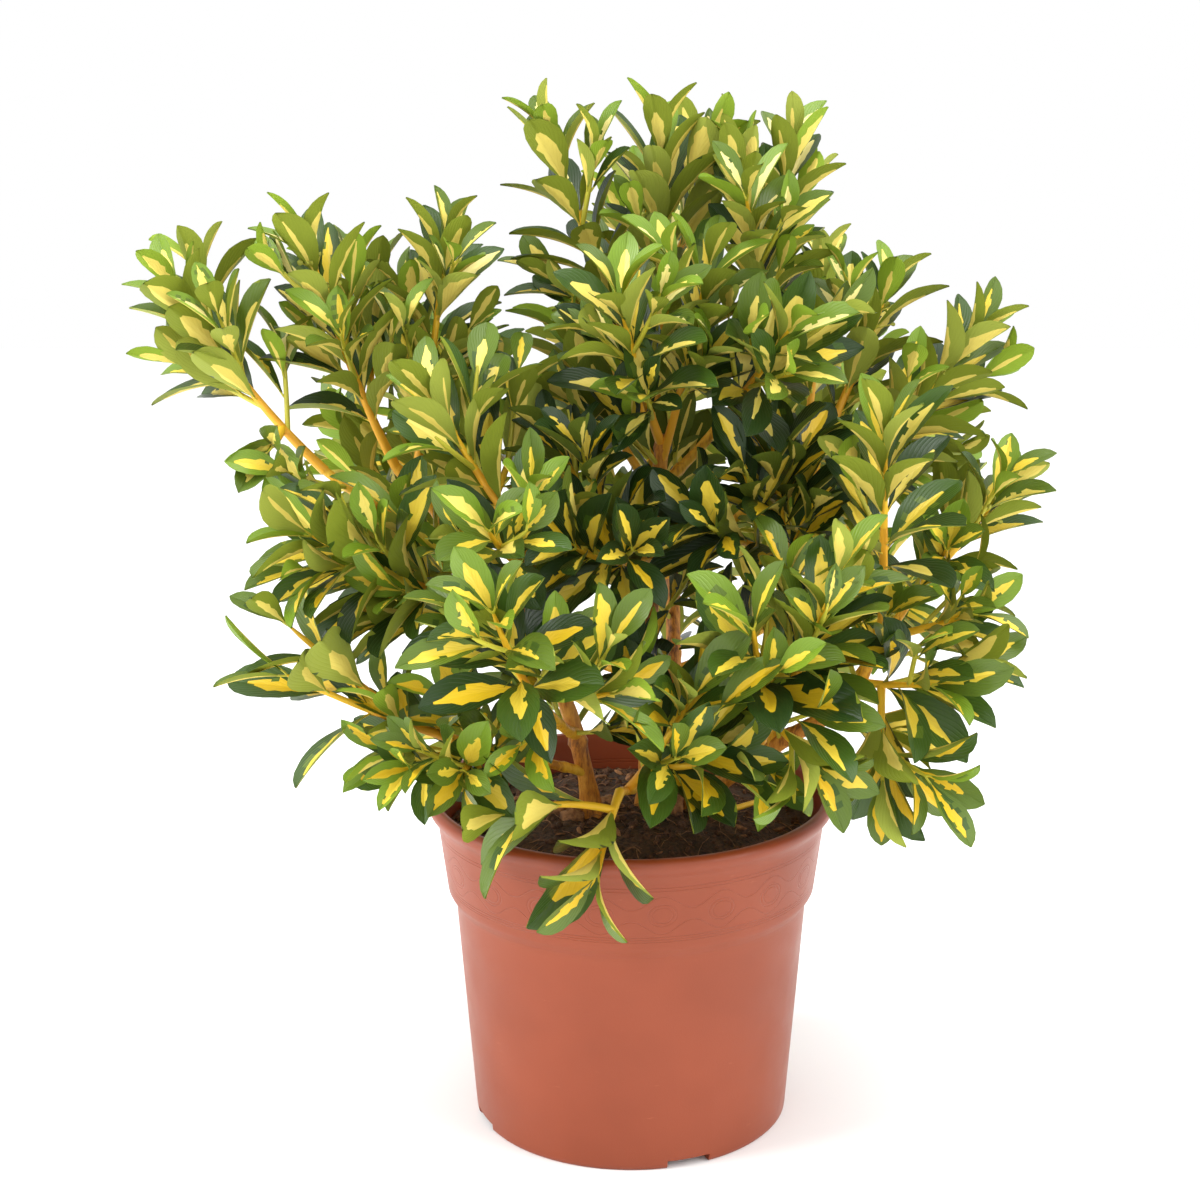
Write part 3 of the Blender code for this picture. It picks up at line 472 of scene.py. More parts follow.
class Materials:
    """Makes the materials, each once."""

    def __init__(self, groups: NodeGroups) -> None:
        self.groups = groups

    def _start(self, name: str) -> tuple:
        """Start a Principled material.

        Args:
            name: Name of the material.

        Returns:
            The material, its node tree and its Principled node.
        """
        material = bpy.data.materials.new(name)
        material.use_nodes = True
        tree = material.node_tree
        return material, tree, tree.nodes["Principled BSDF"]

    @staticmethod
    def _group(tree: bpy.types.NodeTree, group: bpy.types.NodeTree, **values: float) -> bpy.types.Node:
        """Add a group node and set its inputs."""
        node = tree.nodes.new("ShaderNodeGroup")
        node.node_tree = group
        for label, value in values.items():
            node.inputs[label.replace("_", " ").title()].default_value = value
        return node

    def _gloss(self, tree: bpy.types.NodeTree, shader: bpy.types.Node, gloss: tuple, scale: float) -> None:
        """Let the roughness wander between two values."""
        clouds = self._group(tree, self.groups.mottle, scale=scale, low=gloss[0], high=gloss[1])
        tree.links.new(clouds.outputs["Value"], shader.inputs["Roughness"])

    @staticmethod
    def _bump(tree: bpy.types.NodeTree, shader: bpy.types.Node, height: bpy.types.NodeSocket, depth: float) -> None:
        """Raise a relief of the given depth on the shader."""
        bump = tree.nodes.new("ShaderNodeBump")
        bump.inputs["Distance"].default_value = depth
        tree.links.new(height, bump.inputs["Height"])
        tree.links.new(bump.outputs["Normal"], shader.inputs["Normal"])

    @staticmethod
    def _ramp(tree: bpy.types.NodeTree, factor: bpy.types.NodeSocket, stops: Sequence[tuple]) -> bpy.types.NodeSocket:
        """Colour a value by a ramp of (position, colour) stops."""
        node = tree.nodes.new("ShaderNodeValToRGB")
        ramp = node.color_ramp
        for index, (position, colour) in enumerate(stops):
            stop = ramp.elements[index] if index < 2 else ramp.elements.new(position)
            stop.position = position
            stop.color = (*colour, 1.0)
        tree.links.new(factor, node.inputs["Fac"])
        return node.outputs["Color"]

    def tone(self, tone: Tone) -> bpy.types.Material:
        """Material of one leaf or twig tone: plain colour, wandering gloss and relief.

        Args:
            tone: The tone to make.

        Returns:
            The new material.
        """
        finish = tone.value
        material, tree, shader = self._start(tone.piece)
        shader.inputs["Base Color"].default_value = (*finish.colour, 1.0)
        self._gloss(tree, shader, finish.gloss, 90.0)
        if tone.piece.startswith("leaf"):
            veins = self._group(tree, self.groups.veins)
            self._bump(tree, shader, veins.outputs["Height"], finish.relief)
            shader.inputs["Specular IOR Level"].default_value = 0.14 if tone.name.startswith("BACK") else 0.38
        else:
            grain = self._group(tree, self.groups.grain, scale=1400.0)
            self._bump(tree, shader, grain.outputs["Height"], finish.relief)
        return material

    def bark(self, name: str, stops: Sequence[tuple]) -> bpy.types.Material:
        """Bark: streaked along the limb, with dark specks and a fine relief.

        Args:
            name: Name of the material.
            stops: Stops of the colour ramp from dark to light.

        Returns:
            The new material.
        """
        material, tree, shader = self._start(name)
        place = tree.nodes.new("ShaderNodeTexCoord")
        stretch = tree.nodes.new("ShaderNodeMapping")
        stretch.inputs["Scale"].default_value = (1.0, 1.0, 0.22)
        streaks = tree.nodes.new("ShaderNodeTexNoise")
        streaks.inputs["Scale"].default_value = 420.0
        streaks.inputs["Detail"].default_value = 5.0
        streaks.inputs["Roughness"].default_value = 0.65
        tree.links.new(place.outputs["Object"], stretch.inputs["Vector"])
        tree.links.new(stretch.outputs["Vector"], streaks.inputs["Vector"])
        patches = self._group(tree, self.groups.mottle, scale=46.0, low=-0.16, high=0.16)
        factor = NodeGroups.math(tree, "ADD", streaks.outputs["Fac"], patches.outputs["Value"])
        tree.links.new(self._ramp(tree, factor, stops), shader.inputs["Base Color"])
        self._gloss(tree, shader, (0.48, 0.66), 120.0)
        self._bump(tree, shader, streaks.outputs["Fac"], 0.0005)
        return material

    def soil(self, name: str, stops: Sequence[tuple], scale: float) -> bpy.types.Material:
        """Crumbly peat, fibre or chip, from its dark to its light colour.

        Args:
            name: Name of the material.
            stops: Stops of the colour ramp.
            scale: Scale of the speckle.

        Returns:
            The new material.
        """
        material, tree, shader = self._start(name)
        grain = self._group(tree, self.groups.grain, scale=scale, swell=0.5)
        factor = NodeGroups.math(tree, "MULTIPLY", grain.outputs["Height"], 0.667)
        tree.links.new(self._ramp(tree, factor, stops), shader.inputs["Base Color"])
        self._gloss(tree, shader, (0.80, 0.98), 300.0)
        self._bump(tree, shader, grain.outputs["Height"], 0.0012)
        return material

    def pot(self, sizes: PotSizes) -> bpy.types.Material:
        """Terracotta-coloured moulded plastic with scuffs and a faint moulded band.

        Args:
            sizes: Sizes of the pot, for where the ornament band lies.

        Returns:
            The new material.
        """
        material, tree, shader = self._start("terracotta_plastic")
        clouds = self._group(tree, self.groups.mottle, scale=14.0, low=0.0, high=1.0)
        base = self._ramp(
            tree, clouds.outputs["Value"], [(0.0, srgb(128, 57, 30)), (1.0, srgb(139, 64, 36))]
        )
        scuffs = tree.nodes.new("ShaderNodeTexNoise")
        place = tree.nodes.new("ShaderNodeTexCoord")
        stretch = tree.nodes.new("ShaderNodeMapping")
        stretch.inputs["Scale"].default_value = (1.0, 1.0, 5.0)
        scuffs.inputs["Scale"].default_value = 55.0
        scuffs.inputs["Detail"].default_value = 6.0
        scuffs.inputs["Roughness"].default_value = 0.7
        tree.links.new(place.outputs["Object"], stretch.inputs["Vector"])
        tree.links.new(stretch.outputs["Vector"], scuffs.inputs["Vector"])
        worn = tree.nodes.new("ShaderNodeMapRange")
        worn.inputs["From Min"].default_value = 0.66
        worn.inputs["From Max"].default_value = 0.76
        worn.inputs["To Max"].default_value = 0.55
        tree.links.new(scuffs.outputs["Fac"], worn.inputs["Value"])
        blend = tree.nodes.new("ShaderNodeMix")
        blend.data_type = "RGBA"
        blend.inputs["B"].default_value = (*srgb(170, 98, 68), 1.0)
        tree.links.new(worn.outputs["Result"], blend.inputs["Factor"])
        tree.links.new(base, blend.inputs["A"])
        tree.links.new(blend.outputs["Result"], shader.inputs["Base Color"])
        self._gloss(tree, shader, (0.34, 0.44), 40.0)
        shader.inputs["Specular IOR Level"].default_value = 0.34
        band = self._ornament(tree, sizes)
        grain = self._group(tree, self.groups.grain, scale=1300.0, swell=0.3)
        fine = NodeGroups.math(tree, "MULTIPLY", grain.outputs["Height"], 0.10)
        self._bump(tree, shader, NodeGroups.math(tree, "SUBTRACT", fine, band), 0.0006)
        return material

    @staticmethod
    def _ornament(tree: bpy.types.NodeTree, sizes: PotSizes) -> bpy.types.NodeSocket:
        """Depth of the shallow moulded band on the collar: lines, rings and swags."""
        calc = NodeGroups.math
        place = tree.nodes.new("ShaderNodeTexCoord")
        split = tree.nodes.new("ShaderNodeSeparateXYZ")
        tree.links.new(place.outputs["Object"], split.inputs["Vector"])
        turn = calc(tree, "ARCTAN2", split.outputs["Y"], split.outputs["X"])
        steps = calc(tree, "MULTIPLY", turn, sizes.ornaments / math.tau)
        cell = calc(tree, "SUBTRACT", calc(tree, "FRACT", calc(tree, "ADD", steps, 40.0)), 0.5)
        across = calc(tree, "MULTIPLY", cell, math.tau * sizes.collar_top_radius / sizes.ornaments)
        rise = calc(tree, "SUBTRACT", split.outputs["Z"], sizes.band_height)

        def line(distance: bpy.types.NodeSocket, width: float) -> bpy.types.NodeSocket:
            """Groove where a signed distance is near zero."""
            apart = calc(tree, "DIVIDE", calc(tree, "ABSOLUTE", distance), width)
            return calc(tree, "SUBTRACT", 1.0, calc(tree, "MINIMUM", apart, 1.0))

        wide = calc(tree, "POWER", calc(tree, "DIVIDE", across, 1.25), 2.0)
        tall = calc(tree, "POWER", rise, 2.0)
        ring = calc(tree, "SQRT", calc(tree, "ADD", wide, tall))
        marks = [line(calc(tree, "SUBTRACT", ring, radius), 0.0005) for radius in (0.0048, 0.0066)]
        swag = calc(tree, "MULTIPLY", calc(tree, "COSINE", calc(tree, "MULTIPLY", cell, math.tau)), 0.0040)
        for offset in (0.0105, -0.0105):
            side = 1.0 if offset > 0 else -1.0
            bow = calc(tree, "SUBTRACT", rise, calc(tree, "MULTIPLY_ADD", swag, side, offset * 0.72))
            marks.append(line(bow, 0.0005))
        for offset in (0.0150, 0.0170, -0.0135, -0.0150, -0.0165):
            marks.append(line(calc(tree, "SUBTRACT", rise, offset), 0.0004))
        total = marks[0]
        for mark in marks[1:]:
            total = calc(tree, "MAXIMUM", total, mark)
        shell = calc(tree, "GREATER_THAN", split.outputs["Z"], sizes.collar_foot_height + 0.002)
        below = calc(tree, "LESS_THAN", split.outputs["Z"], sizes.height - sizes.lip_depth - 0.001)
        return calc(tree, "MULTIPLY", calc(tree, "MULTIPLY", total, shell), calc(tree, "MULTIPLY", below, 0.34))


# Shapes that several pieces share


def bent(start: Vector, bend: Vector, tip: Vector, count: int) -> list:
    """Points of the smooth arc from start to tip that is drawn towards bend.

    Args:
        start: First point.
        bend: Point the arc is drawn towards.
        tip: Last point.
        count: Number of points.

    Returns:
        The points from start to tip.
    """
    points = []
    for i in range(count):
        t = i / (count - 1)
        points.append(start * (1 - t) ** 2 + bend * (2 * t * (1 - t)) + tip * t**2)
    return points


def point_along(points: Sequence[Vector], share: float) -> tuple:
    """Point and direction at a share of a polyline's points."""
    place = share * (len(points) - 1)
    index = min(int(place), len(points) - 2)
    point = points[index].lerp(points[index + 1], place - index)
    return point, (points[index + 1] - points[index]).normalized()


def running_lengths(points: Sequence[Vector]) -> list:
    """Distance from the first point to each point along a polyline."""
    lengths = [0.0]
    for before, after in zip(points, points[1:]):
        lengths.append(lengths[-1] + (after - before).length)
    return lengths


class Batch:
    """Grids and loose faces gathered into one mesh, all smooth-shaded."""

    def __init__(self) -> None:
        self.points: list = []
        self.normals: list = []
        self.uvs: list = []
        self.quads: list = []
        self.count = 0

    def add(self, points: np.ndarray, normals: np.ndarray, uvs: np.ndarray, quads: np.ndarray) -> None:
        """Add the quads that this batch takes, with only the points they use.

        Args:
            points: All points of the shape, one row each.
            normals: Normal of each point.
            uvs: UV place of each point.
            quads: Point numbers of each quad.
        """
        used, numbers = np.unique(quads, return_inverse=True)
        self.points.append(points[used])
        self.normals.append(normals[used])
        self.uvs.append(uvs[used])
        self.quads.append(numbers.reshape(quads.shape) + self.count)
        self.count += len(used)

    @property
    def faces(self) -> int:
        """Number of triangles gathered so far."""
        return sum(len(block) for block in self.quads) * 2

    def mesh(self, name: str) -> bpy.types.Mesh:
        """Make the mesh, with its own normals and UV map.

        Args:
            name: Name of the mesh.

        Returns:
            The new mesh.
        """
        points = np.concatenate(self.points).astype(np.float32)
        normals = np.concatenate(self.normals).astype(np.float32)
        uvs = np.concatenate(self.uvs).astype(np.float32)
        quads = np.concatenate(self.quads).astype(np.int32)
        mesh = bpy.data.meshes.new(name)
        mesh.vertices.add(len(points))
        mesh.vertices.foreach_set("co", points.ravel())
        mesh.loops.add(quads.size)
        mesh.loops.foreach_set("vertex_index", quads.ravel())
        mesh.polygons.add(len(quads))
        mesh.polygons.foreach_set("loop_start", np.arange(0, quads.size, 4, dtype=np.int32))
        layer = mesh.uv_layers.new(name="UVMap")
        layer.data.foreach_set("uv", uvs[quads.ravel()].ravel())
        mesh.update(calc_edges=True)
        mesh.shade_smooth()
        mesh.normals_split_custom_set_from_vertices(normals)
        return mesh


def grid_quads(rows: int, columns: int) -> np.ndarray:
    """Quads of a grid whose points are numbered row by row, as (rows, columns, 4)."""
    base = np.arange((rows - 1) * columns).reshape(rows - 1, columns)[:, :-1]
    return np.stack([base, base + 1, base + columns + 1, base + columns], axis=-1)


def grid_normals(points: np.ndarray) -> np.ndarray:
    """Normals of a grid of points shaped (rows, columns, 3)."""
    along = np.gradient(points, axis=0)
    across = np.gradient(points, axis=1)
    normals = np.cross(across, along)
    size = np.linalg.norm(normals, axis=2, keepdims=True)
    return normals / np.maximum(size, 1e-12)


def tube(points: Sequence[Vector], radii: Sequence[float], sides: int) -> tuple:
    """Grid of a round tapering tube, closed round its ring and drawn to a point at its tip.

    Args:
        points: Centre line.
        radii: Radius at each point.
        sides: Number of sides.

    Returns:
        Points, normals, UV places and quads, ready for a batch.
    """
    line = np.array([tuple(point) for point in points], float)
    ahead = np.gradient(line, axis=0)
    ahead /= np.maximum(np.linalg.norm(ahead, axis=1, keepdims=True), 1e-12)
    guide = np.array((0.0, 1.0, 0.0)) if abs(ahead[0][1]) < 0.9 else np.array((1.0, 0.0, 0.0))
    side = np.cross(ahead, guide)
    side /= np.maximum(np.linalg.norm(side, axis=1, keepdims=True), 1e-12)
    other = np.cross(ahead, side)
    turns = np.linspace(0.0, math.tau, sides + 1)
    ring = np.cos(turns)[None, :, None] * side[:, None, :] + np.sin(turns)[None, :, None] * other[:, None, :]
    grid = line[:, None, :] + ring * np.asarray(radii)[:, None, None]
    rows, columns = grid.shape[:2]
    share = np.stack(np.meshgrid(turns / math.tau, np.linspace(0, 1, rows)), axis=-1)
    quads = grid_quads(rows, columns).reshape(-1, 4)
    return grid.reshape(-1, 3), ring.reshape(-1, 3), share.reshape(-1, 2), quads


def new_piece(name: str, mesh: bpy.types.Mesh, material: bpy.types.Material) -> bpy.types.Object:
    """Link a mesh as a piece of the object, riding on its body.

    Args:
        name: Name of the piece.
        mesh: Its mesh.
        material: Its material.

    Returns:
        The new object.
    """
    thing = bpy.data.objects.new(name, mesh)
    bpy.context.scene.collection.objects.link(thing)
    mesh.materials.clear()
    mesh.materials.append(material)
    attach(thing, BODY)
    LOG.info("%s: %d faces", name, len(mesh.polygons))
    return thing


def bmesh_piece(name: str, shape: bmesh.types.BMesh, material: bpy.types.Material) -> bpy.types.Object:
    """Turn a finished bmesh into a smooth piece."""
    mesh = bpy.data.meshes.new(name)
    shape.to_mesh(mesh)
    shape.free()
    mesh.shade_smooth()
    return new_piece(name, mesh, material)


# Pot


@dataclass(frozen=True)
class PotSizes:
    """Sizes of the pot, the same as in the CAD source, with finer edges."""

    lip_radius: float = 0.1200
    lip_inner_radius: float = 0.1126
    height: float = 0.1985
    lip_depth: float = 0.0145
    collar_top_radius: float = 0.1138
    collar_foot_radius: float = 0.1085
    collar_foot_height: float = 0.1415
    step_depth: float = 0.0060
    body_top_radius: float = 0.1040
    foot_radius: float = 0.0935
    wall: float = 0.0022
    base: float = 0.0030
    chamfer: float = 0.0015
    segments: int = 180
    slots: int = 4
    slot_first: float = math.radians(-69.0)
    slot_width: float = 0.026
    slot_height: float = 0.0050
    slot_depth: float = 0.012
    ornaments: int = 20
    band_height: float = 0.1635


class Pot:
    """The pot: a turned shell with a rolled lip, a collar and drain slots."""

    def __init__(self, sizes: PotSizes) -> None:
        self.sizes = sizes

    @property
    def inside(self) -> list:
        """Points of the inner wall, from the middle of the floor to the lip."""
        s = self.sizes
        body_top = s.collar_foot_height - s.step_depth
        return [
            (0.0, s.base),
            (s.foot_radius - s.wall - 0.004, s.base),
            (s.foot_radius - s.wall, s.base + 0.004),
            (s.body_top_radius - s.wall, body_top),
            (s.collar_foot_radius - s.wall, s.collar_foot_height + s.wall / 2),
            (s.collar_top_radius - s.wall, s.height - s.lip_depth),
            (s.lip_inner_radius - 0.0002, s.height - 0.006),
            (s.lip_inner_radius + 0.0001, s.height - 0.0022),
            (s.lip_inner_radius + 0.0012, s.height - 0.0004),
        ]

    @property
    def outside(self) -> list:
        """Points of the outer wall, from the lip down to the foot."""
        s = self.sizes
        body_top = s.collar_foot_height - s.step_depth
        lip = s.lip_radius
        return [
            (s.lip_inner_radius + 0.0030, s.height),
            (lip - 0.0028, s.height - 0.0002),
            (lip - 0.0010, s.height - 0.0012),
            (lip - 0.0001, s.height - 0.0032),
            (lip - 0.0002, s.height - 0.0052),
            (lip - 0.0014, s.height - 0.0076),
            (lip - 0.0038, s.height - 0.0102),
            (s.collar_top_radius + 0.0008, s.height - s.lip_depth + 0.0020),
            (s.collar_top_radius, s.height - s.lip_depth - 0.0010),
            (s.collar_foot_radius + 0.0003, s.collar_foot_height + 0.0030),
            (s.collar_foot_radius, s.collar_foot_height + 0.0008),
            (s.collar_foot_radius - 0.0008, s.collar_foot_height - 0.0008),
            (s.body_top_radius + 0.0010, body_top + 0.0012),
            (s.body_top_radius + 0.0001, body_top - 0.0004),
            (s.body_top_radius - 0.0002, body_top - 0.0030),
            (s.foot_radius + 0.0002, 0.0035),
            (s.foot_radius - 0.0001, 0.0014),
            (s.foot_radius - s.chamfer, 0.0),
            (0.0, 0.0),
        ]

    def build(self) -> bpy.types.Mesh:
        """Turn the profile and cut the drain slots.

        Returns:
            The finished mesh.
        """
        s = self.sizes
        shape = bmesh.new()
        points = [shape.verts.new((radius, 0.0, height)) for radius, height in self.inside + self.outside]
        edges = [shape.edges.new(pair) for pair in zip(points, points[1:])]
        bmesh.ops.spin(
            shape, geom=points + edges, axis=(0, 0, 1), cent=(0, 0, 0), steps=s.segments, angle=math.tau,
            use_merge=True,
        )
        bmesh.ops.remove_doubles(shape, verts=shape.verts, dist=0.00001)
        bmesh.ops.recalc_face_normals(shape, faces=shape.faces)
        mesh = bpy.data.meshes.new("pot_shell")
        shape.to_mesh(mesh)
        shape.free()
        body = bpy.data.objects.new("pot_body", mesh)
        bpy.context.scene.collection.objects.link(body)
        cutters = [self._cutter(index) for index in range(s.slots)]
        for index, cutter in enumerate(cutters):
            cut = body.modifiers.new("slot_%d" % index, "BOOLEAN")
            cut.operation = "DIFFERENCE"
            cut.solver = "EXACT"
            cut.object = cutter
        graph = bpy.context.evaluated_depsgraph_get()
        graph.update()
        cut_mesh = bpy.data.meshes.new_from_object(body.evaluated_get(graph))
        for thing in [body, *cutters]:
            bpy.data.objects.remove(thing, do_unlink=True)
        cut_mesh.shade_smooth()
        cut_mesh.set_sharp_from_angle(angle=math.radians(40.0))
        return cut_mesh

    def _cutter(self, index: int) -> bpy.types.Object:
        """Block that cuts one drain slot through the corner of wall and base."""
        s = self.sizes
        azimuth = s.slot_first + index * math.tau / s.slots
        shape = bmesh.new()
        bmesh.ops.create_cube(shape, size=1.0)
        bmesh.ops.scale(shape, vec=(2 * s.slot_depth, s.slot_width, 2 * s.slot_height), verts=shape.verts)
        mesh = bpy.data.meshes.new("drain_slot")
        shape.to_mesh(mesh)
        shape.free()
        cutter = bpy.data.objects.new("drain_slot_%d" % index, mesh)
        bpy.context.scene.collection.objects.link(cutter)
        cutter.location = (s.foot_radius * math.cos(azimuth), s.foot_radius * math.sin(azimuth), 0.0)
        cutter.rotation_euler = (0.0, 0.0, azimuth)
        return cutter

    def dress(self, mesh: bpy.types.Mesh, materials: Materials) -> bpy.types.Object:
        """Show the shell in place of the CAD pot."""
        pot = new_piece("pot_shell", mesh, materials.pot(self.sizes))
        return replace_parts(pot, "pot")


# Soil


@dataclass(frozen=True)
class SoilSizes:
    """Sizes of the root ball's top and of what lies on it."""

    edge_radius: float = 0.1085
    edge_height: float = 0.1760
    crown_height: float = 0.1890
    crown_radius: float = 0.052
    roughness: float = 0.0030
    rings: int = 56
    segments: int = 168
    crumbs: int = 520
    fibres: int = 240
    chips: int = 60
    seed: int = 7


class Soil:
    """Root ball with a crumbly top, fibres, chips and the woody root crown."""

    def __init__(self, sizes: SoilSizes, pot: PotSizes) -> None:
        self.sizes = sizes
        self.pot = pot
        self.rng = random.Random(sizes.seed)

    def smooth_height(self, radius: float) -> float:
        """Height of the soil's smooth surface at a distance from the pot's axis."""
        s = self.sizes
        if radius <= s.crown_radius:
            return s.crown_height
        share = min((radius - s.crown_radius) / (s.edge_radius - s.crown_radius), 1.0)
        return s.crown_height - (0.5 - 0.5 * math.cos(math.pi * share)) * (s.crown_height - s.edge_height)

    def height(self, x: float, y: float) -> float:
        """Height of the crumbly surface at a place.

        Args:
            x: Place to the right of the axis.
            y: Place behind the axis.

        Returns:
            Height above the pot's underside.
        """
        s = self.sizes
        coarse = noise.noise(Vector((x, y, 0.3)) * 70.0)
        fine = noise.noise(Vector((x, y, 1.7)) * 240.0)
        return self.smooth_height(math.hypot(x, y)) + s.roughness * (0.55 * coarse + 0.5 * fine) - 0.0008

    def build_bed(self) -> bmesh.types.BMesh:
        """Closed body of the soil: its crumbly top, side and underside."""
        s, p = self.sizes, self.pot
        body_top = p.collar_foot_height - p.step_depth
        shape = bmesh.new()
        rings = []
        for ring in range(1, s.rings + 1):
            radius = s.edge_radius * ring / s.rings
            loop = []
            for i in range(s.segments):
                turn = math.tau * i / s.segments
                x, y = radius * math.cos(turn), radius * math.sin(turn)
                loop.append(shape.verts.new((x, y, self.height(x, y))))
            rings.append(loop)
        lower = [
            (p.collar_foot_radius - p.wall - 0.0004, p.collar_foot_height + p.wall / 2),
            (p.body_top_radius - p.wall - 0.0004, body_top),
            (p.foot_radius - p.wall - 0.0006, p.base + 0.005),
            (p.foot_radius - p.wall - 0.0050, p.base + 0.0006),
        ]
        for radius, height in lower:
            turns = [math.tau * i / s.segments for i in range(s.segments)]
            rings.append([shape.verts.new((radius * math.cos(t), radius * math.sin(t), height)) for t in turns])
        middle = shape.verts.new((0.0, 0.0, self.height(0.0, 0.0)))
        for i in range(s.segments):
            after = (i + 1) % s.segments
            shape.faces.new((middle, rings[0][i], rings[0][after]))
            for inner, outer in zip(rings, rings[1:]):
                shape.faces.new((inner[i], outer[i], outer[after], inner[after]))
        shape.faces.new(list(reversed(rings[-1])))
        return shape

    def _place(self, reach: float) -> tuple:
        """Random place on the soil within a share of its radius."""
        turn = self.rng.uniform(0.0, math.tau)
        radius = self.sizes.edge_radius * reach * math.sqrt(self.rng.random())
        return radius * math.cos(turn), radius * math.sin(turn)

    def _lump(self, shape: bmesh.types.BMesh, place: Vector, size: Vector, detail: int, rough: float) -> None:
        """Add one irregular lump to a mesh."""
        made = bmesh.ops.create_icosphere(shape, subdivisions=detail, radius=1.0)
        turn = Quaternion((self.rng.uniform(-1, 1), self.rng.uniform(-1, 1), 1.0), self.rng.uniform(0, math.tau))
        offset = Vector((self.rng.uniform(0, 50), 0.0, 0.0))
        for vertex in made["verts"]:
            swell = 1.0 + rough * noise.noise(vertex.co * 1.7 + offset)
            local = Vector(a * b for a, b in zip(vertex.co * swell, size))
            vertex.co = place + turn @ local

    def build_crumbs(self) -> bmesh.types.BMesh:
        """Crumbs of peat lying on the bed."""
        shape = bmesh.new()
        for _ in range(self.sizes.crumbs):
            x, y = self._place(0.97)
            size = self.rng.uniform(0.0009, 0.0030)
            place = Vector((x, y, self.height(x, y) + size * 0.25))
            extent = Vector((size, size * self.rng.uniform(0.6, 1.0), size * self.rng.uniform(0.5, 0.9)))
            self._lump(shape, place, extent, 1, 0.7)
        return shape

    def build_chips(self) -> bmesh.types.BMesh:
        """Woody chips and the lumpy root crown round the stems."""
        shape = bmesh.new()
        for _ in range(self.sizes.chips):
            x, y = self._place(0.93)
            size = self.rng.uniform(0.0025, 0.0060)
            extent = Vector((size, size * self.rng.uniform(0.25, 0.45), size * 0.28))
            self._lump(shape, Vector((x, y, self.height(x, y) + 0.0006)), extent, 1, 0.6)
        lumps = (
            (-0.034, -0.020, 0.011), (-0.046, -0.010, 0.009), (-0.026, -0.004, 0.010), (0.024, -0.010, 0.012),
            (0.040, -0.004, 0.010), (0.012, 0.010, 0.009), (0.030, 0.036, 0.010), (-0.012, 0.008, 0.008),
        )
        for x, y, size in lumps:
            place = Vector((x, y, self.sizes.crown_height - size * 0.25))
            self._lump(shape, place, Vector((size, size * 0.62, size * 0.55)), 3, 0.55)
        return shape

    def build_fibres(self) -> Batch:
        """Fine root and coir fibres strewn over the bed."""
        batch = Batch()
        for _ in range(self.sizes.fibres):
            x, y = self._place(0.95)
            turn = self.rng.uniform(0.0, math.tau)
            length = self.rng.uniform(0.006, 0.022)
            bow = self.rng.uniform(-0.4, 0.4)
            points = []
            for i in range(6):
                share = i / 5
                heading = turn + bow * share * 3
                x += math.cos(heading) * length / 5
                y += math.sin(heading) * length / 5
                radius = math.hypot(x, y)
                if radius > self.sizes.edge_radius - 0.001:
                    x *= (self.sizes.edge_radius - 0.001) / radius
                    y *= (self.sizes.edge_radius - 0.001) / radius
                rise = 0.0005 + 0.0014 * math.sin(math.pi * share) * self.rng.uniform(0.3, 1.0)
                points.append(Vector((x, y, self.height(x, y) + rise)))
            thick = self.rng.uniform(0.00016, 0.00042)
            batch.add(*tube(points, [thick, thick, thick, thick, thick * 0.8, thick * 0.3], 4))
        return batch

    def dress(self, materials: Materials) -> None:
        """Make the soil's pieces and show them in place of the CAD soil."""
        peat = materials.soil("peat", [(0.38, srgb(40, 24, 14)), (0.62, srgb(84, 54, 32))], 520.0)
        crumb = materials.soil("peat_crumb", [(0.35, srgb(48, 29, 17)), (0.65, srgb(104, 68, 42))], 700.0)
        wood = materials.soil("root_wood", [(0.35, srgb(92, 58, 34)), (0.65, srgb(160, 112, 72))], 420.0)
        coir = materials.soil("coir", [(0.35, srgb(98, 66, 42)), (0.65, srgb(150, 108, 74))], 500.0)
        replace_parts(bmesh_piece("soil_bed", self.build_bed(), peat), "soil")
        bmesh_piece("soil_crumbs", self.build_crumbs(), crumb)
        bmesh_piece("root_crown", self.build_chips(), wood)
        new_piece("soil_fibres", self.build_fibres().mesh("soil_fibres"), coir)


# Limbs


@dataclass(frozen=True)
class LimbSizes:
    """How the limbs are drawn."""

    plan_points: int = 8
    ring_step: float = 0.0022
    flare_height: float = 0.030
    flare_gain: float = 1.7
    node_spacing: float = 0.034
    node_swell: float = 0.22
    ridges: float = 0.10
    foot_depth: float = 0.006
    ground: float = 0.1893


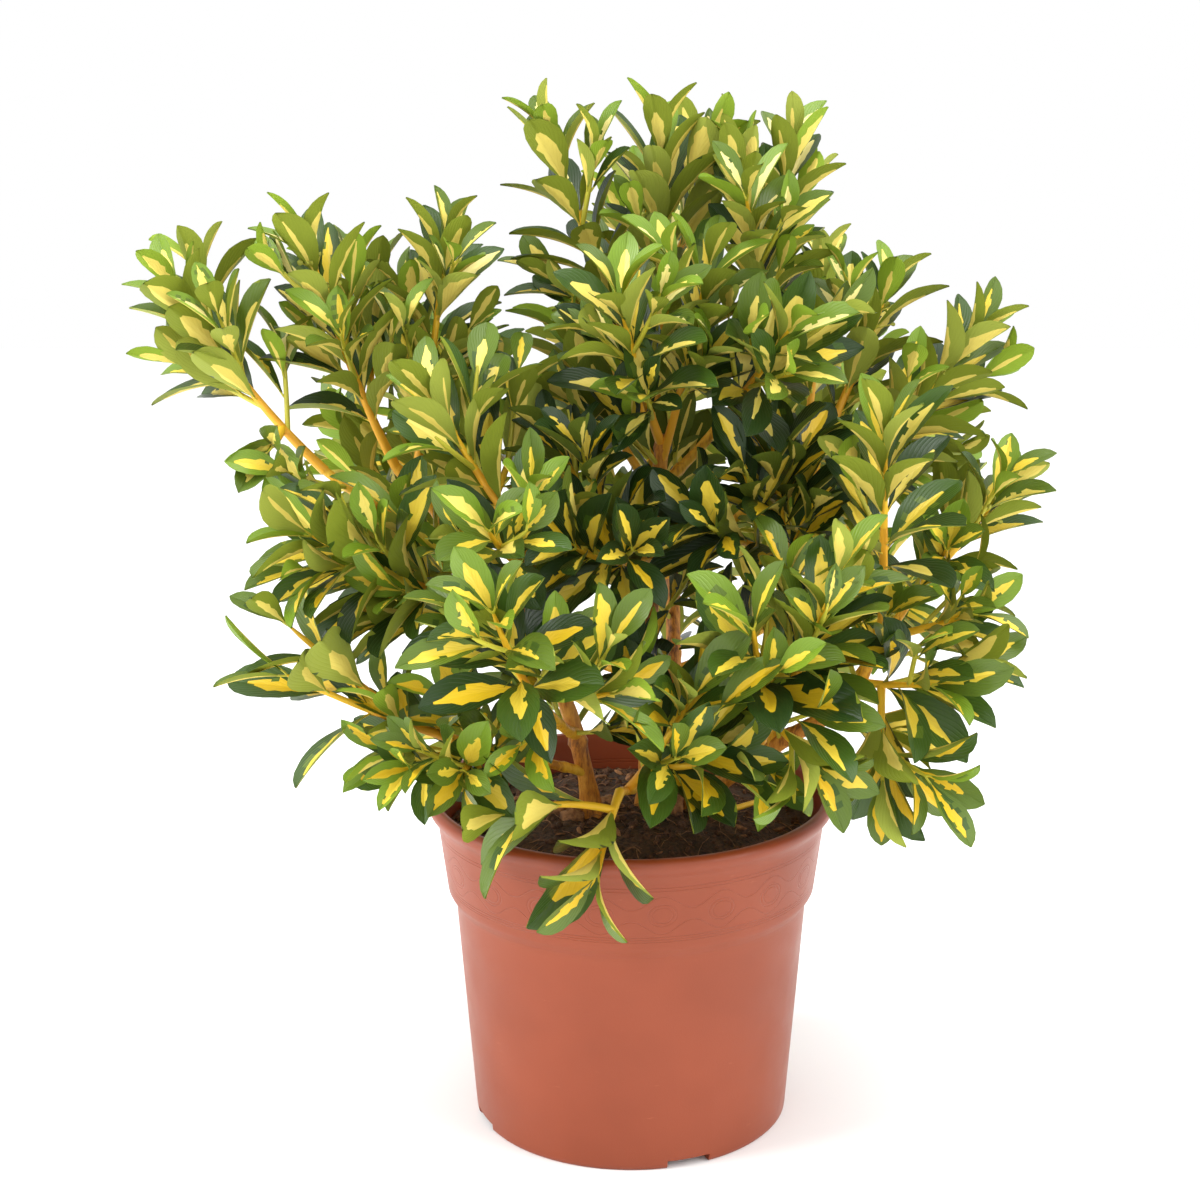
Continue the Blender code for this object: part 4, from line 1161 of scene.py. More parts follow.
class Limbs:
    """Trunks and boughs with bark relief, each in place of its CAD node."""

    def __init__(self, sizes: LimbSizes) -> None:
        self.sizes = sizes
        self.paths: dict = {}
        self.trees: list = []

    def plan(self) -> None:
        """Work out every limb's path as the CAD source does."""
        for limb in TRUNKS + BOUGHS:
            if limb.host:
                start, _ = point_along(self.paths[limb.host], limb.along)
            else:
                start = Vector((*limb.start, self.sizes.ground))
            points = bent(start, Vector(limb.bend), Vector(limb.tip), self.sizes.plan_points)
            if not limb.host:
                lift = (points[1] - points[0]).length * 0.4
                points.insert(1, start + Vector((0.0, 0.0, lift)))
            self.paths[limb.name] = points

    def radius(self, limb: Limb, share: float, distance: float) -> float:
        """Radius of a limb: an even taper, a flare at the ground and swollen nodes."""
        s = self.sizes
        base, end = limb.radius
        radius = base + (end - base) * share
        if not limb.host and distance < s.flare_height:
            fade = 1.0 - distance / s.flare_height
            return radius * (1.0 + (s.flare_gain - 1.0) * fade * fade)
        if limb.host and distance < 0.012:
            radius *= 1.0 + 0.45 * (1.0 - distance / 0.012) ** 2
        phase = (distance % s.node_spacing) / s.node_spacing
        return radius * (1.0 + s.node_swell * math.exp(-(((phase - 0.5) / 0.06) ** 2)))

    def smooth_path(self, limb: Limb) -> list:
        """Finely stepped, rounded path of a limb, its foot carried into the soil."""
        points = list(self.paths[limb.name])
        if not limb.host:
            points.insert(0, points[0] - Vector((0.0, 0.0, self.sizes.foot_depth)))
        lengths = running_lengths(points)
        count = max(int(lengths[-1] / self.sizes.ring_step), 8)
        line = []
        for i in range(count + 1):
            place = lengths[-1] * i / count
            index = max(k for k, d in enumerate(lengths[:-1]) if d <= place + 1e-9)
            span = lengths[index + 1] - lengths[index]
            line.append(points[index].lerp(points[index + 1], (place - lengths[index]) / span))
        for _ in range(14):
            inner = [(a + b * 2 + c) / 4 for a, b, c in zip(line, line[1:], line[2:])]
            line = [line[0], *inner, line[-1]]
        return line

    def build(self, limb: Limb) -> bpy.types.Mesh:
        """Tube of one limb with bark ridges, nodes and a rounded tip.

        Args:
            limb: The limb to build.

        Returns:
            Its mesh.
        """
        line = self.smooth_path(limb)
        lengths = running_lengths(line)
        radii = [self.radius(limb, d / lengths[-1], d) for d in lengths]
        ahead = (line[-1] - line[-2]).normalized()
        for step, shrink in ((0.0009, 0.80), (0.0006, 0.45), (0.0002, 0.02)):
            line.append(line[-1] + ahead * step)
            radii.append(radii[len(lengths) - 1] * shrink)
        sides = 20 if not limb.host else 14
        points, ring, uvs, quads = tube(line, radii, sides)
        seed = sum(ord(letter) for letter in limb.name)
        rough = self.sizes.ridges if not limb.host else self.sizes.ridges * 0.6
        depth = np.repeat(np.asarray(radii), sides + 1)
        for i, (out, radius) in enumerate(zip(ring, depth)):
            height = lengths[min(i // (sides + 1), len(lengths) - 1)]
            probe = Vector((out[0] * 2.2, out[1] * 2.2 + seed, out[2] * 2.2 + height * 38.0))
            fine = Vector((out[0] * 7.0, out[1] * 7.0 + seed, out[2] * 7.0 + height * 160.0))
            points[i] += out * radius * rough * (noise.noise(probe) + 0.6 * noise.noise(fine))
        batch = Batch()
        batch.add(points, ring, uvs, quads)
        return batch.mesh(limb.name + "_bark")

    def dress(self, materials: Materials) -> None:
        """Build every limb and show it in place of its CAD node."""
        old = materials.bark(
            "stem_bark", [(0.30, srgb(104, 60, 18)), (0.48, srgb(190, 118, 32)), (0.74, srgb(224, 160, 60))]
        )
        young = materials.bark(
            "bough_bark", [(0.28, srgb(176, 112, 24)), (0.46, srgb(230, 168, 34)), (0.74, srgb(244, 198, 62))]
        )
        for limb in TRUNKS + BOUGHS:
            mesh = self.build(limb)
            material, slot = (young, Slot.BOUGH) if limb.host else (old, Slot.STEM)
            piece = new_piece(limb.name + "_bark", mesh, material)
            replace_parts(piece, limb.name)
            self.trees.append(mesh_tree(mesh))


def mesh_tree(mesh: bpy.types.Mesh) -> BVHTree:
    """Search tree of a mesh."""
    shape = bmesh.new()
    shape.from_mesh(mesh)
    tree = BVHTree.FromBMesh(shape)
    shape.free()
    return tree


# Foliage


@dataclass(frozen=True)
class ShootSizes:
    """The rule that every shoot follows, finer than in the CAD source."""

    stem_radius: float = 0.0030
    tip_radius: float = 0.0013
    cad_pitch: float = 0.0225
    pitch: float = 0.0116
    leaf_scale: float = 1.04
    open_at_tip: float = math.radians(22.0)
    open_when_old: float = math.radians(43.0)
    open_with_hang: float = math.radians(50.0)
    open_most: float = math.radians(64.0)
    pairs_to_open: float = 4.0
    light_seeking: float = 0.35
    second_bare: float = 0.22
    side_bare: float = 0.26
    second_share: float = 0.30
    side_spacing: float = 0.018
    side_length: float = 0.056
    side_angle: float = math.radians(42.0)
    room: float = 0.003
    spur_spacing: float = 0.026
    spur_length: float = 0.036
    spur_leaf: float = 0.052
    spur_floor: float = 0.225
    buds: int = 5
    seed: int = 41


@dataclass(frozen=True)
class Habit:
    """How one mass departs from the common rule in its finer growth.

    Attributes:
        bare: Share of the leader without leaves.
        pitch: Factor on the distance between leaf pairs.
        leaf: Factor on the leaf's length.
        twigs: Factor on the number of side twigs.
        spread: Factor on how far the leaves open from their twig.
        shade: Painted shade, how much darker its leaves are made, from 0 to 1.
    """

    bare: float = 0.24
    pitch: float = 1.0
    leaf: float = 1.0
    twigs: float = 1.0
    spread: float = 1.0
    shade: float = 0.0


COMMON = Habit()
HABITS = {
    "leaves_left_far": Habit(bare=0.42, twigs=0.8, leaf=0.92, spread=0.9),
    "leaves_left_high": Habit(leaf=0.90, spread=0.9),
    "leaves_left_inner": Habit(leaf=0.88, spread=0.9),
    "leaves_left_low": Habit(leaf=1.05, twigs=1.8),
    "leaves_crest_left": Habit(bare=0.28, twigs=0.3, leaf=0.82, spread=0.75),
    "leaves_crest": Habit(twigs=0.5, leaf=0.84, spread=0.75),
    "leaves_crest_right": Habit(twigs=0.7, leaf=0.86, spread=0.8),
    "leaves_centre_front": Habit(leaf=0.90),
    "leaves_centre": Habit(leaf=0.92),
    "leaves_centre_back": Habit(twigs=0.3, leaf=0.85, spread=0.8),
    "leaves_low_left": Habit(bare=0.40, twigs=0.0, leaf=0.95, pitch=2.4),
    "leaves_left_hanging": Habit(leaf=0.88, twigs=1.3),
    "leaves_front_drooping": Habit(twigs=0.0, leaf=1.25, pitch=1.3),
    "leaves_front_low": Habit(leaf=1.10, pitch=1.1),
    # These two inner masses get extra painted shade, which darkens their leaves.
    "leaves_centre_left": Habit(shade=0.5),
    "leaves_inner_right": Habit(shade=0.5),
    "leaves_right_plume": Habit(twigs=0.3),
    "leaves_right_far": Habit(leaf=0.88, twigs=0.6, spread=0.8),
    "leaves_right_shoulder": Habit(leaf=0.90, twigs=0.6, spread=0.85),
    "leaves_right_tip": Habit(leaf=0.90, spread=0.9),
    "leaves_right_out": Habit(leaf=0.85),
    "leaves_right_hanging": Habit(leaf=0.95, pitch=1.1, spread=0.85),
    "leaves_front_right": Habit(leaf=1.15, twigs=1.4),
    "leaves_back_right_high": Habit(leaf=0.88, twigs=0.3, spread=0.8),
}


@dataclass(frozen=True)
class LeafSizes:
    """The outline and relief of a leaf, as shares of its length."""

    width: float = 0.44
    fold: float = 0.34
    curl: float = 0.19
    thickness: float = 0.00045
    petiole: float = 0.0045
    teeth: float = 0.010


@dataclass
class LeafPlan:
    """One leaf: where it grows, how it stands and how it is coloured."""

    root: Vector
    ahead: Vector
    top: Vector
    length: float
    age: float
    light: float
    shade: float
    seed: int


@dataclass
class Shoot:
    """One shoot: its centre line, girth, bare share and age."""

    points: list
    radius: float
    bare: float
    rank: int


class LeafMaker:
    """Draws leaves into the batches of their tones."""

    ROWS = np.array((0.0, 0.06, 0.14, 0.22, 0.30, 0.38, 0.46, 0.54, 0.62, 0.70, 0.78, 0.86, 0.94, 1.0))
    OUTLINE = (
        (0.0, 0.08, 0.20, 0.34, 0.48, 0.60, 0.72, 0.84, 0.93, 1.0),
        (0.05, 0.19, 0.48, 0.76, 0.94, 1.0, 0.97, 0.80, 0.54, 0.06),
    )
    HEART = ((0.0, 0.15, 0.45, 0.72, 0.90, 1.0), (0.60, 0.78, 1.0, 0.88, 0.52, 0.14))

    DEPTH = np.array((0.0, 0.7, 1.0, 1.2, 1.6, 1.2, 1.0, 0.7, 0.0))
    NEXT = {
        Tone.MARGIN_DEEP: Tone.MARGIN_MID,
        Tone.MARGIN_MID: Tone.MARGIN_LIGHT,
        Tone.MARGIN_LIGHT: Tone.MARGIN_MID,
        Tone.MARGIN_FRESH: Tone.MARGIN_LIGHT,
    }

    def __init__(self, sizes: LeafSizes, batches: dict) -> None:
        self.sizes = sizes
        self.batches = batches
        self.quads = grid_quads(len(self.ROWS), 9)

    def draw(self, leaf: LeafPlan) -> None:
        """Draw one leaf: its top, its underside and its petiole.

        Args:
            leaf: The leaf's plan.
        """
        s = self.sizes
        rng = random.Random(leaf.seed)
        rows = self.ROWS
        half = leaf.length * s.width / 2 * rng.uniform(0.88, 1.12)
        outline = np.interp(rows, *self.OUTLINE) * half
        teeth = np.array([s.teeth * half * (1 if i % 2 else -1) for i in range(len(rows))])
        teeth[:2] = 0.0
        teeth[-1] = 0.0
        low = max(0.30 - leaf.light, 0.0)
        size = rng.uniform(0.22, 0.56) + 0.6 * low + 0.10 * max(leaf.light, 0.0)
        end = rng.uniform(0.66, 0.93)
        bounds = []
        for _ in range(2):
            edge = np.interp(rows / end, *self.HEART) * size * rng.uniform(0.74, 1.06)
            jag = np.array([rng.uniform(-0.30, 0.30) for _ in rows])
            jag[0] = 0.0
            bounds.append(np.clip(edge * (1.0 + jag), 0.08, 0.84))
        left, right = bounds
        one = np.ones(len(rows))
        across = np.stack(
            [-one, -(left + 1) / 2, -left, -left / 2, 0 * one, right / 2, right, (right + 1) / 2, one], axis=1
        )
        fold = s.fold * rng.uniform(0.6, 1.5)
        curl = s.curl * rng.uniform(0.4, 1.7)
        wave = rng.uniform(0.0, math.tau)
        twist = rng.uniform(-0.10, 0.10)
        reach = (outline + 0.0)[:, None] * across
        edge_teeth = np.zeros_like(reach)
        edge_teeth[:, 0] = -teeth
        edge_teeth[:, -1] = teeth
        x = (reach + edge_teeth) * math.cos(fold)
        lift = np.abs(reach) * math.sin(fold) * (1.0 + 0.25 * (across**2))
        ripple = 0.022 * half * np.sin(rows[:, None] * 11.0 + wave + across * 1.4) * across**2
        y = lift + ripple - curl * leaf.length * (rows**2)[:, None] + twist * x * rows[:, None]
        z = np.broadcast_to(rows[:, None] * leaf.length, x.shape) * (1.0 - 0.10 * curl)
        local = np.stack([x, y, z], axis=-1)
        side = leaf.top.cross(leaf.ahead).normalized()
        face = leaf.ahead.cross(side).normalized()
        turn = np.array((tuple(side), tuple(face), tuple(leaf.ahead)))
        foot = leaf.root + leaf.ahead * s.petiole
        world = local @ turn + np.array(tuple(foot))
        normals = grid_normals(world)
        if float(np.dot(normals[5, 4], turn[1])) < 0.0:
            normals = -normals
        uvs = np.stack([0.5 + 0.5 * across, np.broadcast_to(rows[:, None], across.shape)], axis=-1)
        self._top(leaf, rng, world, normals, uvs, end)
        self._back(leaf, rng, world, normals, uvs, end)
        self._petiole(leaf, foot)

    def _tones(self, leaf: LeafPlan, rng: random.Random) -> tuple:
        """Tones of the margin, heart and underside of a leaf."""
        chance = rng.random()
        # Painted shade: leaves deep in the crown mostly take the deep margin.
        if leaf.shade > rng.uniform(0.15, 0.75):
            margin = Tone.MARGIN_DEEP
        elif leaf.age < 0.14:
            margin = Tone.MARGIN_FRESH if chance < 0.36 + 0.3 * (leaf.light - 0.3) else Tone.MARGIN_LIGHT
        elif leaf.age < 0.4:
            margin = Tone.MARGIN_LIGHT if chance < 0.30 else Tone.MARGIN_MID
        else:
            margin = Tone.MARGIN_DEEP if chance < 0.62 else Tone.MARGIN_MID
        # Painted shade also pulls a shaded leaf's heart towards gold.
        cream = leaf.light - 0.3 * leaf.shade + rng.uniform(-0.28, 0.28)
        if cream > 0.92:
            heart = Tone.HEART_PALE
        elif cream > 0.66:
            heart = Tone.HEART_CREAM
        elif cream > 0.18:
            heart = Tone.HEART_YELLOW
        else:
            heart = Tone.HEART_GOLD
        back = Tone.BACK_PALE if rng.random() < 0.40 else Tone.BACK_OLIVE
        # Painted shade: leaves deep in the crown take the darker underside.
        if leaf.shade > 0.4:
            back = Tone.BACK_DEEP
        if margin is Tone.MARGIN_FRESH:
            back = Tone.BACK_FRESH
        return margin, heart, back

    def _top(self, leaf: LeafPlan, rng: random.Random, world: np.ndarray, normals: np.ndarray, uvs: np.ndarray, end: float) -> None:
        """Deal the top side's quads to margin, halo and heart."""
        margin, heart, _ = self._tones(leaf, random.Random(leaf.seed + 1))
        halo = self.NEXT[margin]
        haloed = rng.random() < 0.16
        middle = (self.ROWS[:-1] + self.ROWS[1:]) / 2
        names = np.empty(self.quads.shape[:2], dtype=object)
        names[:, :] = margin
        inside = middle < end
        names[inside, 2:6] = heart
        for row in np.nonzero(inside)[0]:
            for column in (1, 6):
                if haloed and rng.random() < 0.55:
                    names[row, column] = halo
            for column in (2, 5):
                chance = rng.random()
                if chance < 0.05:
                    names[row, column] = halo
                elif chance < 0.12:
                    names[row, column] = margin
        points = world.reshape(-1, 3)
        flat_normals = normals.reshape(-1, 3)
        flat_uvs = uvs.reshape(-1, 2)
        quads = self._facing(points, self.quads, flat_normals)
        for tone in set(names.ravel()):
            self.batches[tone].add(points, flat_normals, flat_uvs, quads[names == tone])

    def _back(self, leaf: LeafPlan, rng: random.Random, world: np.ndarray, normals: np.ndarray, uvs: np.ndarray, end: float) -> None:
        """Draw the underside a leaf's thickness below its top, closed at the edge."""
        _, _, back = self._tones(leaf, random.Random(leaf.seed + 1))
        under = world - normals * (self.DEPTH * self.sizes.thickness)[None, :, None]
        middle = (self.ROWS[:-1] + self.ROWS[1:]) / 2
        names = np.empty(self.quads.shape[:2], dtype=object)
        names[:, :] = back
        heart = slice(2, 6) if rng.random() < 0.45 else slice(3, 5)
        names[middle < end, heart] = Tone.BACK_CREAM
        points = under.reshape(-1, 3)
        flat_normals = -normals.reshape(-1, 3)
        flat_uvs = uvs.reshape(-1, 2)
        quads = self._facing(points, self.quads, flat_normals)
        for tone in set(names.ravel()):
            self.batches[tone].add(points, flat_normals, flat_uvs, quads[names == tone])

    @staticmethod
    def _facing(points: np.ndarray, quads: np.ndarray, normals: np.ndarray) -> np.ndarray:
        """Turn the quads round if they face against the normals."""
        middle = quads[len(quads) // 2, quads.shape[1] // 2]
        a, b, c = points[middle[0]], points[middle[1]], points[middle[3]]
        against = float(np.dot(np.cross(b - a, c - a), normals[middle[0]])) < 0.0
        return quads[:, :, ::-1] if against else quads

    def _petiole(self, leaf: LeafPlan, foot: Vector) -> None:
        """Draw the short stalk, which runs on under the rib's first stretch."""
        ahead = foot + leaf.ahead * leaf.length * 0.10 - leaf.top * 0.0003
        points = [leaf.root, leaf.root.lerp(foot, 0.5) - leaf.top * 0.0004, foot - leaf.top * 0.0003, ahead]
        tone = Tone.TWIG_GREEN if leaf.age < 0.5 else Tone.HEART_YELLOW
        self.batches[tone].add(*tube(points, [0.0008, 0.00065, 0.00065, 0.0002], 5))


class Foliage:
    """Shoots, leaves and buds of every mass, in place of the CAD masses."""

    PROXY_FACES = ((0, 2, 4), (0, 4, 3), (0, 3, 5), (0, 5, 2), (1, 4, 2), (1, 3, 4), (1, 5, 3), (1, 2, 5))
    TURNS = (0.0, 16.0, -16.0, 32.0, -32.0)
    CELL = 0.06
    LOW_STEM = (
        (0.034, -0.020, 0.1885), (0.048, -0.018, 0.1905), (0.064, -0.008, 0.1905), (0.078, 0.007, 0.1895),
        (0.090, 0.027, 0.1880),
    )
    BUDDING = (
        "leaves_left_high", "leaves_left_inner", "leaves_right_shoulder", "leaves_right_far",
        "leaves_right_tip", "leaves_centre", "leaves_back_high", "leaves_back_right_high",
    )

    def __init__(self, shoots: ShootSizes, leaves: LeafSizes, limbs: Limbs) -> None:
        self.sizes = shoots
        self.leaf_sizes = leaves
        self.limbs = limbs
        self.batches = {tone: Batch() for tone in Tone}
        self.maker = LeafMaker(leaves, self.batches)
        self.fixed: list = []
        self.placed: dict = {}
        self.count = 0

    def shoots_of(self, mass: Mass, rng: random.Random) -> list:
        """Leader, second shoot and side twigs of a mass.

        Args:
            mass: The mass.
            rng: Its random draws.

        Returns:
            The shoots, the leader first.
        """
        s = self.sizes
        start, _ = point_along(self.limbs.paths[mass.limb], mass.along)
        tip = Vector(mass.tip)
        low = Vector((0.0, 0.0, -mass.sag * (tip - start).length))
        leader = bent(start, start.lerp(tip, 0.5) + low, tip, 14)
        habit = HABITS.get(mass.name, COMMON)
        shoots = [Shoot(leader, s.stem_radius, habit.bare, 0)]
        if mass.second:
            fork, _ = point_along(leader, s.second_share)
            end = Vector(mass.second)
            low = Vector((0.0, 0.0, -mass.sag * (end - fork).length))
            shoots.append(Shoot(bent(fork, fork.lerp(end, 0.5) + low, end, 12), s.stem_radius * 0.85, s.second_bare, 0))
        for shoot in list(shoots):
            total = running_lengths(shoot.points)[-1]
            count = round(total * 0.66 / s.side_spacing * habit.twigs)
            turn = rng.uniform(0.0, math.tau)
            for i in range(count):
                share = 0.18 + 0.62 * (i + rng.uniform(0.2, 0.8)) / count
                fork, axis = point_along(shoot.points, share)
                away = Quaternion(axis, turn + i * 2.4) @ axis.orthogonal().normalized()
                ahead = axis * math.cos(s.side_angle) + away * math.sin(s.side_angle)
                ahead = (ahead + UP * 0.25).normalized()
                length = s.side_length * rng.uniform(0.65, 1.10) * (1.0 - 0.35 * share)
                lift = (axis * 0.4 + UP * 0.3) * length * 0.35
                points = bent(fork, fork + ahead * length * 0.5, fork + ahead * length + lift * 0.4, 6)
                shoots.append(Shoot(points, s.stem_radius * 0.52, s.side_bare, 1))
        return shoots

    def spurs_of(self, limb: Limb, rng: random.Random) -> list:
        """Short leafy twigs along a trunk or bough, which fill the crown's inside.

        Args:
            limb: The limb that carries them.
            rng: Random draws of the limb.

        Returns:
            The shoots.
        """
        s = self.sizes
        path = self.limbs.paths[limb.name]
        count = round(running_lengths(path)[-1] / s.spur_spacing)
        turn = rng.uniform(0.0, math.tau)
        shoots = []
        for i in range(count):
            root, axis = point_along(path, (i + rng.uniform(0.2, 0.9)) / count)
            away = Quaternion(axis, turn + i * 2.4) @ axis.orthogonal().normalized()
            ahead = (axis * 0.5 + away + UP * 0.3).normalized() * s.spur_length * rng.uniform(0.7, 1.25)
            if root.z > s.spur_floor:
                points = bent(root, root + ahead * 0.5, root + ahead + UP * 0.006, 6)
                shoots.append(Shoot(points, s.stem_radius * 0.5, 0.30, 2))
        return shoots

    def leaf_pose(self, axis: Vector, azimuth: float, opening: float, hang: float) -> tuple:
        """Direction and top side of a leaf that opens from its twig."""
        radial = Quaternion(axis, azimuth) @ axis.orthogonal().normalized()
        ahead = axis * math.cos(opening) + radial * math.sin(opening)
        ahead = (ahead - UP * hang).normalized()
        top = axis * math.sin(opening) - radial * math.cos(opening) + UP * self.sizes.light_seeking
        top = top - ahead * top.dot(ahead)
        return ahead, top.normalized()

    def proxy(self, leaf: LeafPlan, start: float) -> tuple:
        """Eight-faced stand-in of a leaf for testing, as points and a search tree."""
        sizes = self.leaf_sizes
        half = leaf.length * sizes.width / 2
        side = leaf.top.cross(leaf.ahead).normalized()
        face = leaf.ahead.cross(side).normalized()
        foot = leaf.root + leaf.ahead * (sizes.petiole + leaf.length * start)
        mid = leaf.root + leaf.ahead * (sizes.petiole + leaf.length * 0.55) - face * (sizes.curl * 0.3 * leaf.length)
        tip = leaf.root + leaf.ahead * (sizes.petiole + leaf.length) - face * (sizes.curl * leaf.length)
        rise = face * (math.sin(sizes.fold) * half)
        points = [
            foot, tip, mid + side * half + rise, mid - side * half + rise, mid + face * 0.0006, mid - face * 0.0006,
        ]
        return points, BVHTree.FromPolygons(points, self.PROXY_FACES)

    def _cells(self, points: Sequence[Vector]) -> set:
        """Cells of the search grid that a leaf's box covers."""
        low = [int(math.floor(min(p[k] for p in points) / self.CELL)) for k in range(3)]
        high = [int(math.floor(max(p[k] for p in points) / self.CELL)) for k in range(3)]
        spans = [range(a, b + 1) for a, b in zip(low, high)]
        return {(i, j, k) for i in spans[0] for j in spans[1] for k in spans[2]}

    def fits(self, leaf: LeafPlan, low: Vector, high: Vector) -> bool:
        """Keep a leaf if it stays in its mass's space and cuts nothing.

        Args:
            leaf: The leaf's plan.
            low: Lowest corner of the space.
            high: Highest corner of the space.

        Returns:
            True if the leaf was kept.
        """
        points, tree = self.proxy(leaf, 0.20)
        for point in points:
            if any(point[k] < low[k] or point[k] > high[k] for k in range(3)):
                return False
        if any(tree.overlap(other) for other in self.fixed):
            return False
        cells = self._cells(points)
        near = {index for cell in cells for index in self.placed.get(cell, ())}
        if any(tree.overlap(self.kept[index]) for index in near):
            return False
        self.kept.append(tree)
        for cell in cells:
            self.placed.setdefault(cell, []).append(len(self.kept) - 1)
        return True

    def grow(self) -> None:
        """Grow every mass: first all its twigs, then the leaves in the room left."""
        s = self.sizes
        self.kept: list = []
        plans = []
        for mass in MASSES:
            rng = random.Random(s.seed + sum(ord(letter) for letter in mass.name))
            plans.append((mass, self.shoots_of(mass, rng), rng))
        for mass, shoots, _ in plans:
            if mass.name in self.BUDDING:
                self._buds(shoots[0], random.Random(s.seed + len(mass.name)))
        edge = Vector((s.room, s.room, s.room))
        boxes = {mass.name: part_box(mass.name) for mass in MASSES}
        for rank in (0, 1):
            for mass, shoots, rng in plans:
                low, high = boxes[mass.name]
                for shoot in shoots:
                    if shoot.rank == rank:
                        self._leaves(mass, shoot, rng, low - edge, high + edge)
        low = Vector([min(box[0][k] for box in boxes.values()) for k in range(3)])
        high = Vector([max(box[1][k] for box in boxes.values()) for k in range(3)])
        for limb in TRUNKS + BOUGHS:
            rng = random.Random(s.seed + sum(ord(letter) for letter in limb.name))
            spur = Mass(limb.name, limb.name, 1.0, limb.tip, NONE, s.spur_leaf, 0.0, 0.15)
            for shoot in self.spurs_of(limb, rng):
                self._leaves(spur, shoot, rng, low, high)
        line = [Vector(point) for point in self.LOW_STEM]
        self.batches[Tone.TWIG_GOLD].add(*tube(line, [s.stem_radius * k for k in (0.8, 0.66, 0.6, 0.54, 0.3)], 9))
        LOG.info("foliage: %d leaves", self.count)

    @staticmethod
    def shade(root: Vector) -> float:
        """Painted shade of a leaf: how deep inside the crown it grows, from 0 outside to 1 at the trunk."""
        inward = 1.0 - math.hypot(root.x - 0.02, root.y) / 0.12
        below = (0.48 - root.z) / 0.10
        return max(inward, 0.0) * min(max(below, 0.0), 1.0)

    def _leaves(self, mass: Mass, shoot: Shoot, rng: random.Random, low: Vector, high: Vector) -> None:
        """Grow the leaves of one shoot, from its tip down, and then its twig."""
        s = self.sizes
        habit = HABITS.get(mass.name, COMMON)
        pitch = s.pitch * habit.pitch
        lengths = running_lengths(shoot.points)
        total = lengths[-1]
        count = int(total * (1.0 - shoot.bare) / pitch) + 1
        turn = rng.uniform(0.0, math.pi)
        grown = 0
        for pair in range(count):
            place = max(total - pair * pitch * rng.uniform(0.92, 1.08) - 0.001, 0.0)
            index = max(i for i, d in enumerate(lengths[:-1]) if d <= place)
            axis = (shoot.points[index + 1] - shoot.points[index]).normalized()
            root = shoot.points[index] + axis * (place - lengths[index])
            step = pair * pitch / s.cad_pitch
            age = min(1.0, step / s.pairs_to_open)
            widest = min(s.open_when_old + s.open_with_hang * mass.hang, s.open_most)
            opening = (s.open_at_tip + (widest - s.open_at_tip) * age) * habit.spread
            grown_to = min(1.0, 0.70 + 0.16 * step) * (0.90 if shoot.rank else 1.0)
            for side in (0.0, math.pi):
                azimuth = turn + pair * math.pi / 2 + side + rng.uniform(-0.28, 0.28)
                spread = opening + rng.uniform(-0.16, 0.16)
                hang = mass.hang * age + 0.15 * age * rng.random()
                length = mass.leaf * s.leaf_scale * habit.leaf * grown_to * rng.uniform(0.84, 1.12)
                seed = rng.randrange(1 << 30)
                light = (root.z - 0.20) / 0.34
                # Painted shade, from the mass's habit and from how deep the leaf sits in the crown.
                shade = habit.shade + self.shade(root)
                for attempt, shift in enumerate(self.TURNS):
                    ahead, top = self.leaf_pose(axis, azimuth + math.radians(shift), spread, hang)
                    leaf = LeafPlan(root, ahead, top, length * (1.0 - 0.05 * attempt), age, light, shade, seed)
                    if self.fits(leaf, low, high):
                        self.maker.draw(leaf)
                        self.count += 1
                        grown += 1
                        break
        if grown or shoot.rank == 0:
            self._twig(shoot, total)

    def _twig(self, shoot: Shoot, total: float) -> None:
        """Draw a shoot's own stem in the tone of its age."""
        count = len(shoot.points)
        tip = self.sizes.tip_radius
        radii = [shoot.radius + (tip - shoot.radius) * i / (count - 1) for i in range(count)]
        radii[-1] = tip * 0.5
        split = max(int(count * 0.55), 2)
        young, old = (Tone.TWIG_GOLD, Tone.TWIG_BROWN) if shoot.rank == 0 else (Tone.TWIG_GREEN, Tone.TWIG_GOLD)
        if shoot.rank == 0 and total > 0.07:
            self.batches[old].add(*tube(shoot.points[: split + 1], radii[: split + 1], 7))
            self.batches[young].add(*tube(shoot.points[split:], radii[split:], 6))
        else:
            self.batches[young].add(*tube(shoot.points, radii, 6))

    def _buds(self, shoot: Shoot, rng: random.Random) -> None:
        """Draw clusters of small stalked flower buds near a shoot's tip."""
        for share in (0.80, 0.90):
            root, axis = point_along(shoot.points, share)
            for _ in range(self.sizes.buds):
                out = Quaternion(axis, rng.uniform(0.0, math.tau)) @ axis.orthogonal().normalized()
                ahead = (axis * rng.uniform(0.5, 1.2) + out).normalized()
                end = root + ahead * rng.uniform(0.007, 0.013)
                self.batches[Tone.TWIG_GREEN].add(*tube([root, root.lerp(end, 0.5), end], [0.0005, 0.0004, 0.0004], 4))
                size = rng.uniform(0.0012, 0.0018)
                line = [end + ahead * size * step for step in (-0.9, -0.5, 0.2, 0.8, 1.1)]
                self.batches[Tone.BUD].add(*tube(line, [size * k for k in (0.2, 0.8, 1.0, 0.6, 0.05)], 7))

    def dress(self, materials: Materials) -> None:
        """Turn the batches into pieces and hide the CAD masses they stand for."""
        names = [mass.name for mass in MASSES]
        for tone, batch in self.batches.items():
            if not batch.count:
                continue
            mesh = batch.mesh(tone.piece)
            piece = new_piece(tone.piece, mesh, materials.tone(tone))
            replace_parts(piece, *names)


# Studio


@dataclass(frozen=True)
class StudioSizes:
    """Camera, floor and lights."""

    camera_height: float = 0.6661
    camera_distance: float = 1.3422
    camera_dip: float = math.radians(14.69)
    lens: float = 72.0
    shift: float = -0.0258
    floor: float = 6.0
    world: float = 1.0


